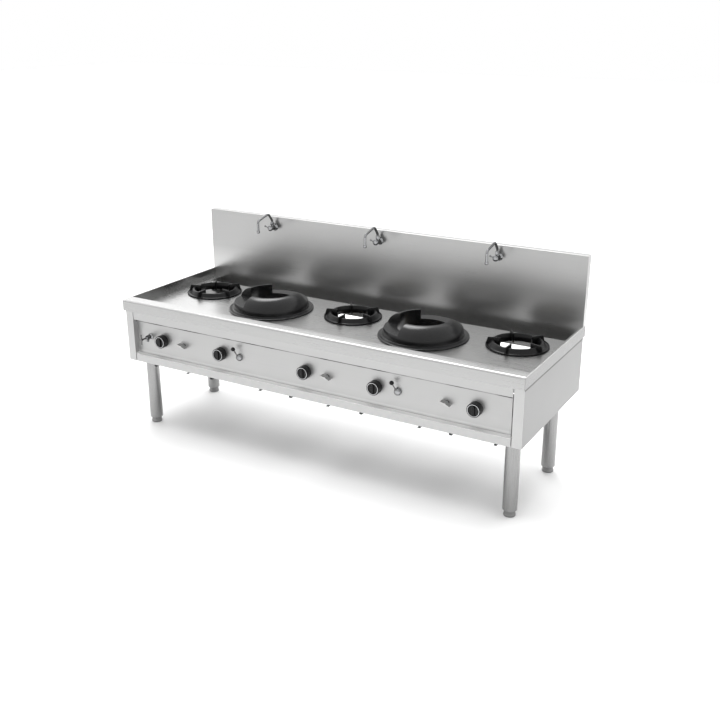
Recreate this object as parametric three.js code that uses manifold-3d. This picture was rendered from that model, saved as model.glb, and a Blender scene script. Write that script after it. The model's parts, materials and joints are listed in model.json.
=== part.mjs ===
// Five-burner wok range: a stainless table range with two wok rings, three pan trivets,
// a sunk deck with a rear water channel, a splashback with three swivel taps and a sunk control face.
// Millimetres. +X to the right, +Y to the back, +Z up; the floor is z = 0.
import * as THREE from 'three';
import { mergeVertices } from 'three/addons/utils/BufferGeometryUtils.js';
import Module from 'manifold-3d';

const wasm = await Module();
wasm.setup();

// ---- overall ----
const rangeWidth = 2500;
const rangeDepth = 900;
const worktopHeight = 800;
const splashHeight = 390;
const splashDepth = 45;
const sheet = 1.5;
const seat = 0.3;
const weldGap = 1e-3;

// ---- worktop ----
const deckSheet = 2;
const skirtHeight = 65;
const frontRim = 75;
const sideRim = 8;
const noseRadius = 12;
const deckDrop = 55;
const channelWidth = 110;
const channelDepth = 68;
const channelEndMargin = 60;
const channelFlange = 10;
const drainRadius = 20;
const drainLength = 45;
const drainInset = 120;

// ---- body ----
const bodyHeight = 375;
const bodySideInset = 5;
const bodyFrontInset = 15;
const bodyRearInset = 15;
const postWidth = 52;
const postSeam = 4;
const railHeight = 52;
const faceHeight = 214;
const faceSink = 28;
const returnWidth = 40;
const bottomReturn = 49;
const sideReturn = 25;
const ledgeRise = 5;

// ---- base frame ----
const frameSection = 40;
const frameWall = 2;
const bracketWidth = 40;
const bracketWall = 3;
const bracketSpan = 190;

// ---- legs and feet ----
const legInset = 85;
const frontLegSetback = 120;
const rearLegSetback = 220;
const legRadius = 38;
const legWall = 1.5;
const legPlateSize = 98;
const legPlateThick = 5;
const legBottom = 35;
const legPlugHeight = 25;
const footRadius = 33;
const footBaseHeight = 9;
const stemRadius = 8;
const stemLength = 70;
const stemClearance = 0.4;

// ---- burners ----
const endMargin = 250;
const trivetSetback = 543;
const wokSetback = 444;
const trivetHoleRadius = 128;
const wokHoleRadius = 152;
const trivetFlangeRadius = 168;
const castFlange = 8;
const collarRadius = 150;
const collarTopRadius = 134;
const collarHeight = 28;
const collarWall = 10;
const spigotDepth = 14;
const spigotClearance = 2;
const finTop = 39;
const finOuter = 160;
const finInner = 88;
const finWidth = 9;
const finCount = 5;
const finTurn = 53;
const wokFlangeRadius = 249;
const wokBaseRadius = 222;
const wokMouthRadius = 142;
const wokHeight = 103;
const wokWall = 9;
const wokSill = 50;
const frontNotch = [183, 257];
const rearNotch = [20, 123];
const smallHeadRadius = 58;
const wokHeadRadius = 82;
const headDrop = 36;
const headHeight = 46;
const mixerRadius = 19;
const jetRadius = 5;
const throatLength = 70;
const mouthAhead = 40;
const mouthDepth = 40;
const nozzleEntry = 6;

// ---- gas ----
const controlDrop = 224;
const manifoldRadius = 14;
const manifoldSetback = 92;
const manifoldDrop = 44;
const valveRadius = 15;
const spindleRadius = 5;
const spindleLength = 30;
const feedRadius = 6;
const hangerInset = 150;
const hangerShift = 70;
const wokKnobOffset = -67;
const endKnobShift = 7;

// ---- knobs ----
const knobRadius = 37;
const knobFaceRadius = 36;
const knobLength = 40;
const knobSkirt = 8;
const knobRing = 5;
const knobGripWidth = 13;
const knobGripHeight = 7;

// ---- small fittings ----
const leverValveOffset = 62;
const leverValveRadius = 20.5;
const leverValveLength = 7;
const leverHubRadius = 18.5;
const leverHubLength = 10;
const leverRodRadius = 3;
const leverBallRadius = 12;
const leverReach = [-21, -19, 53];
const endCockShift = 162;
const middleCockOffset = 140;
const cockRadius = 12;
const cockLength = 4;
const wingLength = 56;
const wingThick = 6;
const wingDepth = 31;
const wingEdge = 1.5;
const wingHub = 7.5;
const wingTilt = -21;
const rinseInset = 160;
const rinseDrop = 212;
const rinseRadius = 13;
const rinseLength = 44;
const rinseTail = 20;
const rinseSpoutRadius = 7;
const rinseSpoutDrop = 26;
const handleGap = 37;
const handleBarLength = 62;
const handleBarRadius = 4;

// ---- taps ----
const tapSpacing = 750;
const tapDrop = 65;
const tapRadius = 14;
const tapLength = 46;
const escutcheonRadius = 23;
const escutcheonThick = 5;
const riserSetback = 27;
const riserNutRadius = 13;
const riserNutHeight = 14;
const spoutRadius = 7;
const spoutRise = 76;
const spoutLean = 38;
const spoutReach = 148;
const spoutFall = 26;
const spoutDrop = 64;
const nozzleRadius = 9.5;
const nozzleLength = 16;
const tapHubRadius = 17;
const tapHubLength = 14;
const tapLeverLength = 44;
const tapLeverRadius = 4;
const waterRadius = 9;
const waterClearance = 1.5;
const inletDrop = 60;
const inletNutHeight = 20;

// ---- drip trays ----
const smallTrayWidth = 246;
const wokTrayWidth = 349;
const trayRearGap = 16;
const trayHeight = 26;
const traySheet = 1;
const traySetback = 104;
const trayGrip = 12;
const endTrayShift = 30;
const runnerSetback = 65;
const runnerOverhang = 25;
const runnerLip = 14;
const runnerSheet = 3;
const runnerSideGap = 2.5;

// ---- places worked out from the sizes above ----
const halfWidth = rangeWidth / 2;
const deckTop = worktopHeight - deckDrop;
const deckUnder = deckTop - deckSheet;
const skirtBottom = worktopHeight - skirtHeight;
const splashFront = rangeDepth - splashDepth;
const channelFront = splashFront - channelWidth;
const channelHalf = halfWidth - channelEndMargin;
const channelFloor = deckUnder - channelDepth;
const bodyHalf = halfWidth - bodySideInset;
const bodyTop = deckUnder - seat;
const bodyBottom = worktopHeight - bodyHeight;
const bodyRear = rangeDepth - bodyRearInset;
const postInner = bodyHalf - postWidth;
const faceFront = bodyFrontInset + faceSink;
const faceTop = skirtBottom - railHeight;
const faceBottom = faceTop - faceHeight;
const panelHalf = postInner - postSeam;
const frameBottom = bodyBottom + sheet + seat;
const frameTop = frameBottom + frameSection;
const legX = halfWidth - legInset;
const frontLegY = frontLegSetback;
const rearLegY = rangeDepth - rearLegSetback;
const runnerBack = rearLegY + runnerOverhang;
const trayBack = rearLegY - trayRearGap;
const tapHeight = worktopHeight + splashHeight - tapDrop;
const headTop = deckTop - headDrop;
const headBottom = headTop - headHeight;
const controlHeight = worktopHeight - controlDrop;
const manifoldZ = controlHeight - manifoldDrop;
const rinseHeight = worktopHeight - rinseDrop;
const rinsePlace = -halfWidth + rinseInset;
const rinseFront = faceFront - rinseLength;
const handleY = rinseFront - handleGap;
const frontReach = handleBarRadius - handleY;
const centreY = (rangeDepth - frontReach) / 2;
const burnerPitch = (rangeWidth - 2 * endMargin) / 4;
const burnerPlaces = [-2, -1, 0, 1, 2].map((step) => step * burnerPitch);
const isWok = (index) => index % 2 === 1;
const burnerY = (index) => (isWok(index) ? wokSetback : trivetSetback);
const inward = (x) => -Math.sign(x);
const knobPlaces = burnerPlaces.map((x, index) =>
  x + (isWok(index) ? wokKnobOffset : inward(x) * endKnobShift));
const cockPlaces = [burnerPlaces[0], burnerPlaces[2], burnerPlaces[4]].map((x) =>
  x + (x === 0 ? middleCockOffset : inward(x) * endCockShift));
const channelBack = splashFront + 2 * deckSheet;
const waterY = channelBack + seat + channelFlange + waterClearance + waterRadius;
const radians = THREE.MathUtils.degToRad;

// ---- materials ----
function finish(color, roughness, metalness) {
  return new THREE.MeshStandardMaterial({ color, roughness, metalness });
}

const brushedSteel = finish(0xb9bab8, 0.34, 1);
const chromePlate = finish(0xd9dcde, 0.12, 1);
const castIron = finish(0x1d1d1e, 0.6, 0.3);
const blackPlastic = finish(0x141415, 0.35, 0);
const brass = finish(0xb08d4c, 0.35, 1);
const galvanized = finish(0x9ea3a6, 0.5, 1);

// ---- solid helpers ----
function weld(geometry) {
  const bare = geometry.index ? geometry.toNonIndexed() : geometry.clone();
  bare.deleteAttribute('normal');
  bare.deleteAttribute('uv');
  return mergeVertices(bare, weldGap);
}

function solid(geometry) {
  const welded = weld(geometry);
  const build = (triVerts) => new wasm.Manifold(new wasm.Mesh({
    numProp: 3,
    vertProperties: new Float32Array(welded.attributes.position.array),
    triVerts,
  }));
  const faces = new Uint32Array(welded.index.array);
  const first = build(faces);
  return first.volume() > 0 ? first : build(faces.slice().reverse());
}

function box(x0, x1, y0, y1, z0, z1) {
  const block = new THREE.BoxGeometry(x1 - x0, y1 - y0, z1 - z0);
  return solid(block.translate((x0 + x1) / 2, (y0 + y1) / 2, (z0 + z1) / 2));
}

// A round bar between two points.
function rod(from, to, radius, sides = 20, endRadius = radius) {
  const start = new THREE.Vector3(...from);
  const axis = new THREE.Vector3(...to).sub(start);
  const bar = weld(new THREE.CylinderGeometry(endRadius, radius, axis.length(), sides));
  bar.translate(0, axis.length() / 2, 0);
  const turn = new THREE.Quaternion().setFromUnitVectors(new THREE.Vector3(0, 1, 0), axis.normalize());
  return solid(bar.applyQuaternion(turn).translate(start.x, start.y, start.z));
}

function ball(centre, radius, across = 16) {
  return solid(weld(new THREE.SphereGeometry(radius, across, across / 2)).translate(...centre));
}

// A turned piece: profile points are [radius, height] and close on themselves or the axis.
function turned(profile, sides, centre = [0, 0, 0]) {
  const ring = profile.map(([radius, height]) => new THREE.Vector2(radius, height));
  if (profile[0][0] > 0 || profile.at(-1)[0] > 0) ring.push(ring[0].clone());
  const lathe = weld(new THREE.LatheGeometry(ring, sides)).rotateX(Math.PI / 2);
  return solid(lathe.translate(...centre));
}

// A turned piece whose axis points to the front, its profile heights counted from y = base.
function turnedForward(profile, sides, x, base, z) {
  const ring = profile.map(([radius, height]) => new THREE.Vector2(radius, height));
  if (profile[0][0] > 0 || profile.at(-1)[0] > 0) ring.push(ring[0].clone());
  const lathe = weld(new THREE.LatheGeometry(ring, sides)).rotateX(Math.PI);
  return solid(lathe.translate(x, base, z));
}

// A YZ outline carried along X between x0 and x1.
function alongX(shape, x0, x1) {
  const bar = new THREE.ExtrudeGeometry(shape, { depth: x1 - x0, bevelEnabled: false, curveSegments: 6 });
  const turn = new THREE.Matrix4().makeBasis(
    new THREE.Vector3(0, 1, 0), new THREE.Vector3(0, 0, 1), new THREE.Vector3(1, 0, 0));
  return solid(bar.applyMatrix4(turn).translate(x0, 0, 0));
}

// An XY outline carried along Z between z0 and z1.
function alongZ(shape, z0, z1) {
  const bar = new THREE.ExtrudeGeometry(shape, { depth: z1 - z0, bevelEnabled: false, curveSegments: 6 });
  return solid(bar.translate(0, 0, z0));
}

function outline(points) {
  return new THREE.Shape(points.map(([a, b]) => new THREE.Vector2(a, b)));
}

// A bent sheet: the centre line's points, offset to both sides and closed with mitred corners.
function bentSheet(points, thickness) {
  const side = (offset) => points.map(([a, b], index) => {
    const before = points[Math.max(index - 1, 0)];
    const after = points[Math.min(index + 1, points.length - 1)];
    const into = new THREE.Vector2(a - before[0], b - before[1]).normalize();
    const out = new THREE.Vector2(after[0] - a, after[1] - b).normalize();
    const one = index === 0 ? out : into;
    const two = index === points.length - 1 ? into : out;
    const mitre = new THREE.Vector2(-(one.y + two.y), one.x + two.x);
    mitre.multiplyScalar(offset * 2 / mitre.lengthSq());
    return [a + mitre.x, b + mitre.y];
  });
  return outline([...side(thickness / 2), ...side(-thickness / 2).reverse()]);
}

// A route of straight runs with rounded corners, sampled only where it bends.
class BentRoute extends THREE.Curve {
  constructor(points, bend, bendSteps) {
    super();
    const corners = points.map((point) => new THREE.Vector3(...point));
    this.stops = [corners[0]];
    corners.slice(1, -1).forEach((corner, index) => {
      const back = corners[index].clone().sub(corner).normalize().multiplyScalar(bend).add(corner);
      const ahead = corners[index + 2].clone().sub(corner).normalize().multiplyScalar(bend).add(corner);
      this.stops.push(...new THREE.QuadraticBezierCurve3(back, corner, ahead).getPoints(bendSteps));
    });
    this.stops.push(corners.at(-1));
  }

  getPoint(part, target = new THREE.Vector3()) {
    const along = part * (this.stops.length - 1);
    const stop = Math.min(Math.floor(along), this.stops.length - 2);
    return target.lerpVectors(this.stops[stop], this.stops[stop + 1], along - stop);
  }

  getPointAt(part, target) {
    return this.getPoint(part, target);
  }

  getTangentAt(part, target = new THREE.Vector3()) {
    const last = this.stops.length - 1;
    const stop = Math.round(part * last);
    const before = this.stops[Math.max(stop - 1, 0)];
    const here = this.stops[stop];
    const after = this.stops[Math.min(stop + 1, last)];
    const arrive = here.clone().sub(before).normalize();
    const leave = after.clone().sub(here).normalize();
    return target.copy(arrive.add(leave).normalize());
  }
}

function pipe(points, bend, radius, sides, bendSteps = 4) {
  const section = new THREE.Shape();
  section.absarc(0, 0, radius, 0, Math.PI * 2);
  const route = new BentRoute(points, bend, bendSteps);
  return solid(new THREE.ExtrudeGeometry(section, {
    steps: route.stops.length - 1, curveSegments: sides / 2, bevelEnabled: false, extrudePath: route,
  }));
}

const join = (pieces) => pieces.reduce((whole, piece) => whole.add(piece));
const cut = (whole, tools) => tools.reduce((left, tool) => left.subtract(tool), whole);

function geometryOf(body) {
  const mesh = body.getMesh();
  const geometry = new THREE.BufferGeometry();
  geometry.setAttribute('position', new THREE.BufferAttribute(new Float32Array(mesh.vertProperties), 3));
  geometry.setIndex(new THREE.BufferAttribute(new Uint32Array(mesh.triVerts), 1));
  geometry.computeVertexNormals();
  return geometry;
}

// Everything hangs in one group whose origin is the middle of the footprint on the floor.
const range = new THREE.Group();
range.position.set(0, -centreY, 0);

function place(name, body, material) {
  const mesh = new THREE.Mesh(geometryOf(body), material);
  mesh.name = name;
  range.add(mesh);
}

// ---- worktop ----
// The rim's outline from front to back, with a rolled nose, inset evenly for the hollow below it.
function rimOutline(inset, back, bottom) {
  const shape = new THREE.Shape();
  const top = worktopHeight - inset;
  const radius = noseRadius - inset;
  shape.moveTo(inset, bottom);
  shape.lineTo(inset, top - radius);
  shape.absarc(inset + radius, top - radius, radius, Math.PI, Math.PI / 2, true);
  shape.lineTo(back, top);
  shape.lineTo(back, bottom);
  shape.closePath();
  return shape;
}

function makeWorktop() {
  const hollow = sideRim - 2 * deckSheet;
  const rimInner = halfWidth - sideRim;
  const innerWall = halfWidth - deckSheet;
  const below = skirtBottom - 1;
  const tools = [
    box(-rimInner, rimInner, frontRim, rangeDepth - deckSheet, deckTop, worktopHeight + 1),
    box(-innerWall, innerWall, deckSheet, rangeDepth - deckSheet, below, deckUnder),
    alongX(rimOutline(deckSheet, frontRim - deckSheet, below), -innerWall, innerWall),
    box(-channelHalf, channelHalf, channelFront, channelBack, deckUnder - 1, deckTop + 1),
    rod([rinsePlace, waterY, deckUnder - 1], [rinsePlace, waterY, deckTop + 1], waterRadius + 1, 20),
  ];
  for (const side of [-1, 1]) {
    const edges = [side * (innerWall - hollow), side * innerWall].sort((a, b) => a - b);
    tools.push(box(...edges, frontRim - deckSheet, rangeDepth - deckSheet,
      below, worktopHeight - deckSheet));
  }
  burnerPlaces.forEach((x, index) => {
    const radius = isWok(index) ? wokHoleRadius : trivetHoleRadius;
    tools.push(rod([x, burnerY(index), deckUnder - 1], [x, burnerY(index), deckTop + 1], radius, 24));
  });
  const blank = alongX(rimOutline(0, rangeDepth, skirtBottom), -halfWidth, halfWidth);
  place('worktop', cut(blank, tools), brushedSteel);
}

// ---- rear channel with its drain ----
function makeChannel() {
  const front = channelFront - seat;
  const back = channelBack + seat;
  const top = deckUnder - seat;
  const profile = bentSheet([
    [front - channelFlange, top - sheet / 2],
    [front - sheet / 2, top - sheet / 2],
    [front - sheet / 2, channelFloor + sheet / 2],
    [back + sheet / 2, channelFloor + sheet / 2],
    [back + sheet / 2, top - sheet / 2],
    [back + channelFlange, top - sheet / 2],
  ], sheet);
  const drainX = channelHalf - drainInset;
  const drainY = (front + back) / 2;
  const ends = [-1, 1].map((side) => {
    const edges = [side * channelHalf, side * (channelHalf + sheet)].sort((a, b) => a - b);
    return box(...edges, front - sheet, back + sheet, channelFloor, top);
  });
  const trough = join([
    alongX(profile, -channelHalf - sheet / 2, channelHalf + sheet / 2),
    ...ends,
    rod([drainX, drainY, channelFloor - drainLength],
      [drainX, drainY, channelFloor + sheet], drainRadius, 16),
  ]);
  const bore = rod([drainX, drainY, channelFloor - drainLength - 1],
    [drainX, drainY, channelFloor + sheet + 1], drainRadius - 2, 16);
  place('rear_channel', cut(trough, [bore]), brushedSteel);
}

// ---- splashback ----
function splashOutline(inset, bottom) {
  const shape = new THREE.Shape();
  const top = worktopHeight + splashHeight - inset;
  const radius = Math.max(4 - inset, 1);
  shape.moveTo(splashFront + inset, bottom);
  shape.lineTo(splashFront + inset, top - radius);
  shape.absarc(splashFront + inset + radius, top - radius, radius, Math.PI, Math.PI / 2, true);
  shape.lineTo(rangeDepth - inset, top);
  shape.lineTo(rangeDepth - inset, bottom);
  shape.closePath();
  return shape;
}

const tapPlaces = [-1, 0, 1].map((step) => step * tapSpacing);

function makeSplashback() {
  const bottom = worktopHeight + seat;
  const tongueHalf = halfWidth - sideRim - seat;
  const cover = 32;
  const shell = alongX(splashOutline(0, bottom), -halfWidth, halfWidth);
  const hollow = alongX(splashOutline(sheet, bottom - 1), -halfWidth + sheet, halfWidth - sheet);
  const backOpening = box(-halfWidth + cover, halfWidth - cover, rangeDepth - 2 * sheet, rangeDepth + 1,
    bottom + cover, worktopHeight + splashHeight - cover);
  const apron = box(-tongueHalf, tongueHalf, splashFront, splashFront + sheet, deckTop + seat, bottom + 5);
  const tongue = box(-channelHalf + 1, channelHalf - 1, splashFront, splashFront + sheet,
    channelFloor + 12, deckTop + 5);
  const tapHoles = tapPlaces.map((x) =>
    rod([x, splashFront - 1, tapHeight], [x, splashFront + 2 * sheet, tapHeight], waterRadius + 2, 8));
  place('splashback', cut(join([cut(shell, [hollow, backOpening]), apron, tongue]), tapHoles), brushedSteel);
}

// ---- side panels with corner posts ----
function makeSidePanel(name, side) {
  const middle = sheet / 2;
  const plan = bentSheet([
    [side * (postInner + middle), faceFront + 12],
    [side * (postInner + middle), bodyFrontInset + middle],
    [side * (bodyHalf - middle), bodyFrontInset + middle],
    [side * (bodyHalf - middle), bodyRear - middle],
    [side * (bodyHalf - returnWidth), bodyRear - middle],
  ], sheet);
  const foot = [side * (bodyHalf - sideReturn), side * bodyHalf].sort((a, b) => a - b);
  const flange = box(...foot, bodyFrontInset, bodyRear, bodyBottom, bodyBottom + sheet);
  place(name, alongZ(plan, bodyBottom, bodyTop).add(flange), brushedSteel);
}

// ---- front panel: upper rail, sunk control face closed at both ends, sloped ledge, lower rail ----
function controlHoles() {
  const hole = (x, radius, z = controlHeight) =>
    rod([x, faceFront - 1, z], [x, faceFront + 2 * sheet, z], radius, 8);
  return [
    ...knobPlaces.map((x) => hole(x, spindleRadius + 2)),
    ...[1, 3].map((index) => hole(burnerPlaces[index] + leverValveOffset, valveRadius)),
    ...cockPlaces.map((x) => hole(x, feedRadius + 1)),
    hole(rinsePlace, waterRadius + 1, rinseHeight),
  ];
}

function makeFrontPanel() {
  const middle = sheet / 2;
  const profile = bentSheet([
    [bodyFrontInset + middle, bodyTop],
    [bodyFrontInset + middle, faceTop + middle],
    [faceFront + middle, faceTop + middle],
    [faceFront + middle, faceBottom + ledgeRise],
    [bodyFrontInset + middle, faceBottom],
    [bodyFrontInset + middle, bodyBottom + middle],
    [bodyFrontInset + bottomReturn, bodyBottom + middle],
  ], sheet);
  const ends = [-1, 1].map((side) => {
    const edges = [side * (panelHalf - sheet), side * panelHalf].sort((a, b) => a - b);
    return box(...edges, bodyFrontInset, faceFront + sheet, faceBottom, faceTop + middle);
  });
  const panel = join([alongX(profile, -panelHalf, panelHalf), ...ends]);
  place('front_panel', cut(panel, controlHoles()), brushedSteel);
}

// ---- base frame: two angle rails, two side bars, five burner brackets, ten tray runners ----
function railX(y) {
  const front = y - frameSection / 2 + frameWall / 2;
  const profile = bentSheet([
    [front, frameBottom],
    [front, frameTop - frameWall / 2],
    [y + frameSection / 2, frameTop - frameWall / 2],
  ], frameWall);
  const reach = bodyHalf - sheet - seat;
  return alongX(profile, -reach, reach);
}

// The front rail's foot stands over the bottom return of the front panel.
function railFoot() {
  const back = frontLegY - frameSection / 2 + frameWall;
  return box(-panelHalf, panelHalf, bodyFrontInset + 2 * sheet, back, frameBottom, frameBottom + frameWall);
}

function bracket(index) {
  const x = burnerPlaces[index];
  const middle = burnerY(index);
  const top = headBottom - seat - bracketWall / 2;
  const base = frameTop - bracketWall / 2 + 1;
  const half = bracketSpan / 2;
  const profile = bentSheet([
    [frontLegY, base],
    [middle - half, base],
    [middle - half, top],
    [middle + half, top],
    [middle + half, base],
    [rearLegY, base],
  ], bracketWall);
  return alongX(profile, x - bracketWidth / 2, x + bracketWidth / 2);
}

const isEnd = (index) => Math.abs(burnerPlaces[index]) === 2 * burnerPitch;
const trayX = (index) =>
  burnerPlaces[index] + (isEnd(index) ? inward(burnerPlaces[index]) * endTrayShift : 0);
const trayWidth = (index) => (isWok(index) ? wokTrayWidth : smallTrayWidth);
const runnerFloor = bodyBottom - trayHeight - 10;

// A Z-shaped runner welded under the rails: the foot turned inward carries the tray.
function runner(x, towards) {
  const web = x - towards * runnerSheet / 2;
  const plan = bentSheet([
    [web - towards * runnerLip, frameBottom + runnerSheet / 2],
    [web, frameBottom + runnerSheet / 2],
    [web, runnerFloor + runnerSheet / 2],
    [web + towards * runnerLip, runnerFloor + runnerSheet / 2],
  ], runnerSheet);
  const bar = new THREE.ExtrudeGeometry(plan, { depth: runnerBack - runnerSetback, bevelEnabled: false });
  return solid(bar.rotateX(Math.PI / 2).translate(0, runnerBack, 0));
}

function runners() {
  return burnerPlaces.flatMap((_, index) => {
    const half = trayWidth(index) / 2 + runnerSideGap;
    return [runner(trayX(index) - half, 1), runner(trayX(index) + half, -1)];
  });
}

function makeBaseFrame() {
  const outer = bodyHalf - sheet - seat;
  const sides = [-1, 1].map((side) => {
    const edges = [side * (outer - frameSection), side * outer].sort((a, b) => a - b);
    return box(...edges, frontLegY, rearLegY, frameTop - 8, frameTop - 1);
  });
  const brackets = burnerPlaces.map((x, index) => bracket(index));
  const rails = [railX(frontLegY), railX(rearLegY), railFoot()];
  place('base_frame', join([...rails, ...sides, ...brackets, ...runners()]), galvanized);
}

// ---- legs and feet ----
const legSpots = {
  front_left: [-legX, frontLegY],
  front_right: [legX, frontLegY],
  rear_left: [-legX, rearLegY],
  rear_right: [legX, rearLegY],
};

function makeLeg(corner, [x, y]) {
  const half = legPlateSize / 2;
  const top = frameBottom - seat;
  const under = top - legPlateThick;
  const plate = box(x - half, x + half, y - half, y + half, under, top);
  const tube = turned([
    [legRadius, legBottom],
    [legRadius, under + 1],
    [legRadius - legWall, under + 1],
    [legRadius - legWall, legBottom + legPlugHeight],
    [stemRadius + stemClearance, legBottom + legPlugHeight],
    [stemRadius + stemClearance, legBottom],
  ], 16, [x, y, 0]);
  const vent = rod([x, y, under - 1], [x, y, top + 1], stemRadius, 8);
  place(`leg_${corner}`, cut(plate.add(tube), [vent]), brushedSteel);
}

function makeFoot(corner, [x, y]) {
  place(`foot_${corner}`, turned([
    [0, 0],
    [footRadius, 0],
    [footRadius - 1, footBaseHeight],
    [footRadius - 3, legBottom - 8],
    [footRadius - 8, legBottom - seat],
    [stemRadius, legBottom - seat],
    [stemRadius, legBottom + stemLength],
    [0, legBottom + stemLength],
  ], 16, [x, y, 0]), brushedSteel);
}

// ---- drip trays on their runners ----

function makeTray(index) {
  const half = trayWidth(index) / 2;
  const x = trayX(index);
  const floor = runnerFloor + runnerSheet + seat;
  const shell = box(x - half, x + half, traySetback, trayBack, floor, floor + trayHeight);
  const hollow = box(x - half + traySheet, x + half - traySheet,
    traySetback + traySheet, trayBack - traySheet, floor + traySheet, floor + trayHeight + 1);
  const grip = alongX(bentSheet([
    [traySetback + 0.5, floor + trayHeight - 1],
    [traySetback - trayGrip, floor + trayHeight - 1],
    [traySetback - trayGrip, floor + trayHeight - 7],
  ], 1.2), x - half / 2, x + half / 2);
  place(`drip_tray_${index + 1}`, cut(shell, [hollow]).add(grip), brushedSteel);
}

// ---- pan trivets ----
function fin(x, y, angle, base) {
  const shape = outline([
    [finInner, base - spigotDepth],
    [finInner, base + finTop - 5],
    [finInner + 5, base + finTop],
    [finOuter - 6, base + finTop],
    [finOuter - 3, base + finTop - 3],
    [trivetFlangeRadius - 3, base + castFlange - 1],
    [trivetFlangeRadius - 3, base + castFlange / 2],
    [trivetHoleRadius - spigotClearance - collarWall / 2, base + castFlange / 2],
    [trivetHoleRadius - spigotClearance - collarWall / 2, base - spigotDepth],
  ]);
  const plate = new THREE.ExtrudeGeometry(shape, { depth: finWidth, bevelEnabled: false });
  plate.translate(0, 0, -finWidth / 2).rotateX(Math.PI / 2).rotateZ(angle).translate(x, y, 0);
  return solid(plate);
}

function makeTrivet(index) {
  const x = burnerPlaces[index];
  const y = burnerY(index);
  const base = deckTop + seat;
  const spigot = trivetHoleRadius - spigotClearance;
  const ring = turned([
    [spigot, base - spigotDepth],
    [spigot, base],
    [trivetFlangeRadius, base],
    [trivetFlangeRadius - 2, base + castFlange],
    [collarRadius, base + castFlange],
    [collarTopRadius, base + collarHeight],
    [collarTopRadius - collarWall, base + collarHeight],
    [spigot - collarWall, base + castFlange],
    [spigot - collarWall, base - spigotDepth],
  ], 24, [x, y, 0]);
  const turns = Array.from({ length: finCount }, (_, step) => radians(finTurn + step * 360 / finCount));
  place(`trivet_${index + 1}`, join([ring, ...turns.map((turn) => fin(x, y, turn, base))]), castIron);
}

// ---- wok rings: a domed casting, hollow from below, with two notches down to a sill ----
// The dome follows a quarter ellipse from the base up to the mouth.
function domeCurve(base, inset, steps) {
  const across = wokBaseRadius - wokMouthRadius - inset;
  const up = wokHeight - castFlange - inset;
  return Array.from({ length: steps + 1 }, (_, step) => {
    const angle = (Math.PI / 2) * (step / steps);
    return [wokMouthRadius + across * Math.cos(angle), base + castFlange + up * Math.sin(angle)];
  });
}

// A wedge that stands on height z and opens between two angles.
function wedge(x, y, [from, to], z, extra) {
  const start = radians(from - extra);
  const sweep = radians(to - from + 2 * extra);
  const points = [[x, y]];
  for (let step = 0; step <= 6; step += 1) {
    const angle = start + sweep * step / 6;
    points.push([x + wokFlangeRadius * 1.2 * Math.cos(angle), y + wokFlangeRadius * 1.2 * Math.sin(angle)]);
  }
  return alongZ(outline(points), z, deckTop + wokHeight + 10);
}

function makeWokRing(index) {
  const x = burnerPlaces[index];
  const y = burnerY(index);
  const base = deckTop + seat;
  const sides = 36;
  const outer = turned([
    [wokMouthRadius, base],
    [wokFlangeRadius - 1, base],
    [wokFlangeRadius, base + 2],
    [wokFlangeRadius - 2, base + castFlange],
    ...domeCurve(base, 0, 6),
  ], sides, [x, y, 0]);
  const innerBase = wokBaseRadius - wokWall;
  const hollow = turned([
    [wokMouthRadius + wokWall, base - 1],
    [innerBase, base - 1],
    ...domeCurve(base, wokWall, 3).filter(([radius]) => radius > wokMouthRadius + wokWall),
    [wokMouthRadius + wokWall, base + wokHeight - 2 * wokWall],
  ], sides, [x, y, 0]);
  const notches = [frontNotch, rearNotch];
  const openings = notches.map((notch) => wedge(x, y, notch, base + wokSill, 0));
  const walls = notches.map((notch) => wedge(x, y, notch, base + wokSill - wokWall, 3));
  place(`wok_ring_${index + 1}`, cut(cut(outer, openings), [cut(hollow, walls)]), castIron);
}

// ---- burners: cast head with a crown of jets and a mixing tube to the front ----
function makeBurner(index) {
  const x = burnerPlaces[index];
  const y = burnerY(index);
  const radius = isWok(index) ? wokHeadRadius : smallHeadRadius;
  const jets = isWok(index) ? 8 : 5;
  const tubeZ = headBottom + mixerRadius + 2;
  const head = turned([
    [0, headBottom],
    [radius * 0.7, headBottom],
    [radius, headBottom + headHeight * 0.4],
    [radius, headTop - 14],
    [radius - 6, headTop - 10],
    [radius * 0.35, headTop - 10],
    [0, headTop - 18],
  ], 16, [x, y, 0]);
  const crown = Array.from({ length: jets }, (_, step) => {
    const angle = step * 2 * Math.PI / jets;
    const ring = radius * 0.7;
    const spot = [x + ring * Math.cos(angle), y + ring * Math.sin(angle)];
    return rod([...spot, headTop - 12], [...spot, headTop], jetRadius, 5);
  });
  const mouthY = manifoldSetback + mouthAhead;
  const throatY = mouthY + throatLength;
  const tube = rod([x, throatY, tubeZ], [x, y, tubeZ], mixerRadius * 0.75, 10, mixerRadius);
  const bell = rod([x, mouthY, tubeZ], [x, throatY + 1, tubeZ], mixerRadius, 10, mixerRadius * 0.75);
  const mouth = rod([x, mouthY - 1, tubeZ], [x, mouthY + mouthDepth, tubeZ], mixerRadius - 4, 10,
    mixerRadius * 0.5);
  place(`burner_${index + 1}`, cut(join([head, tube, bell, ...crown]), [mouth]), castIron);
}

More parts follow.
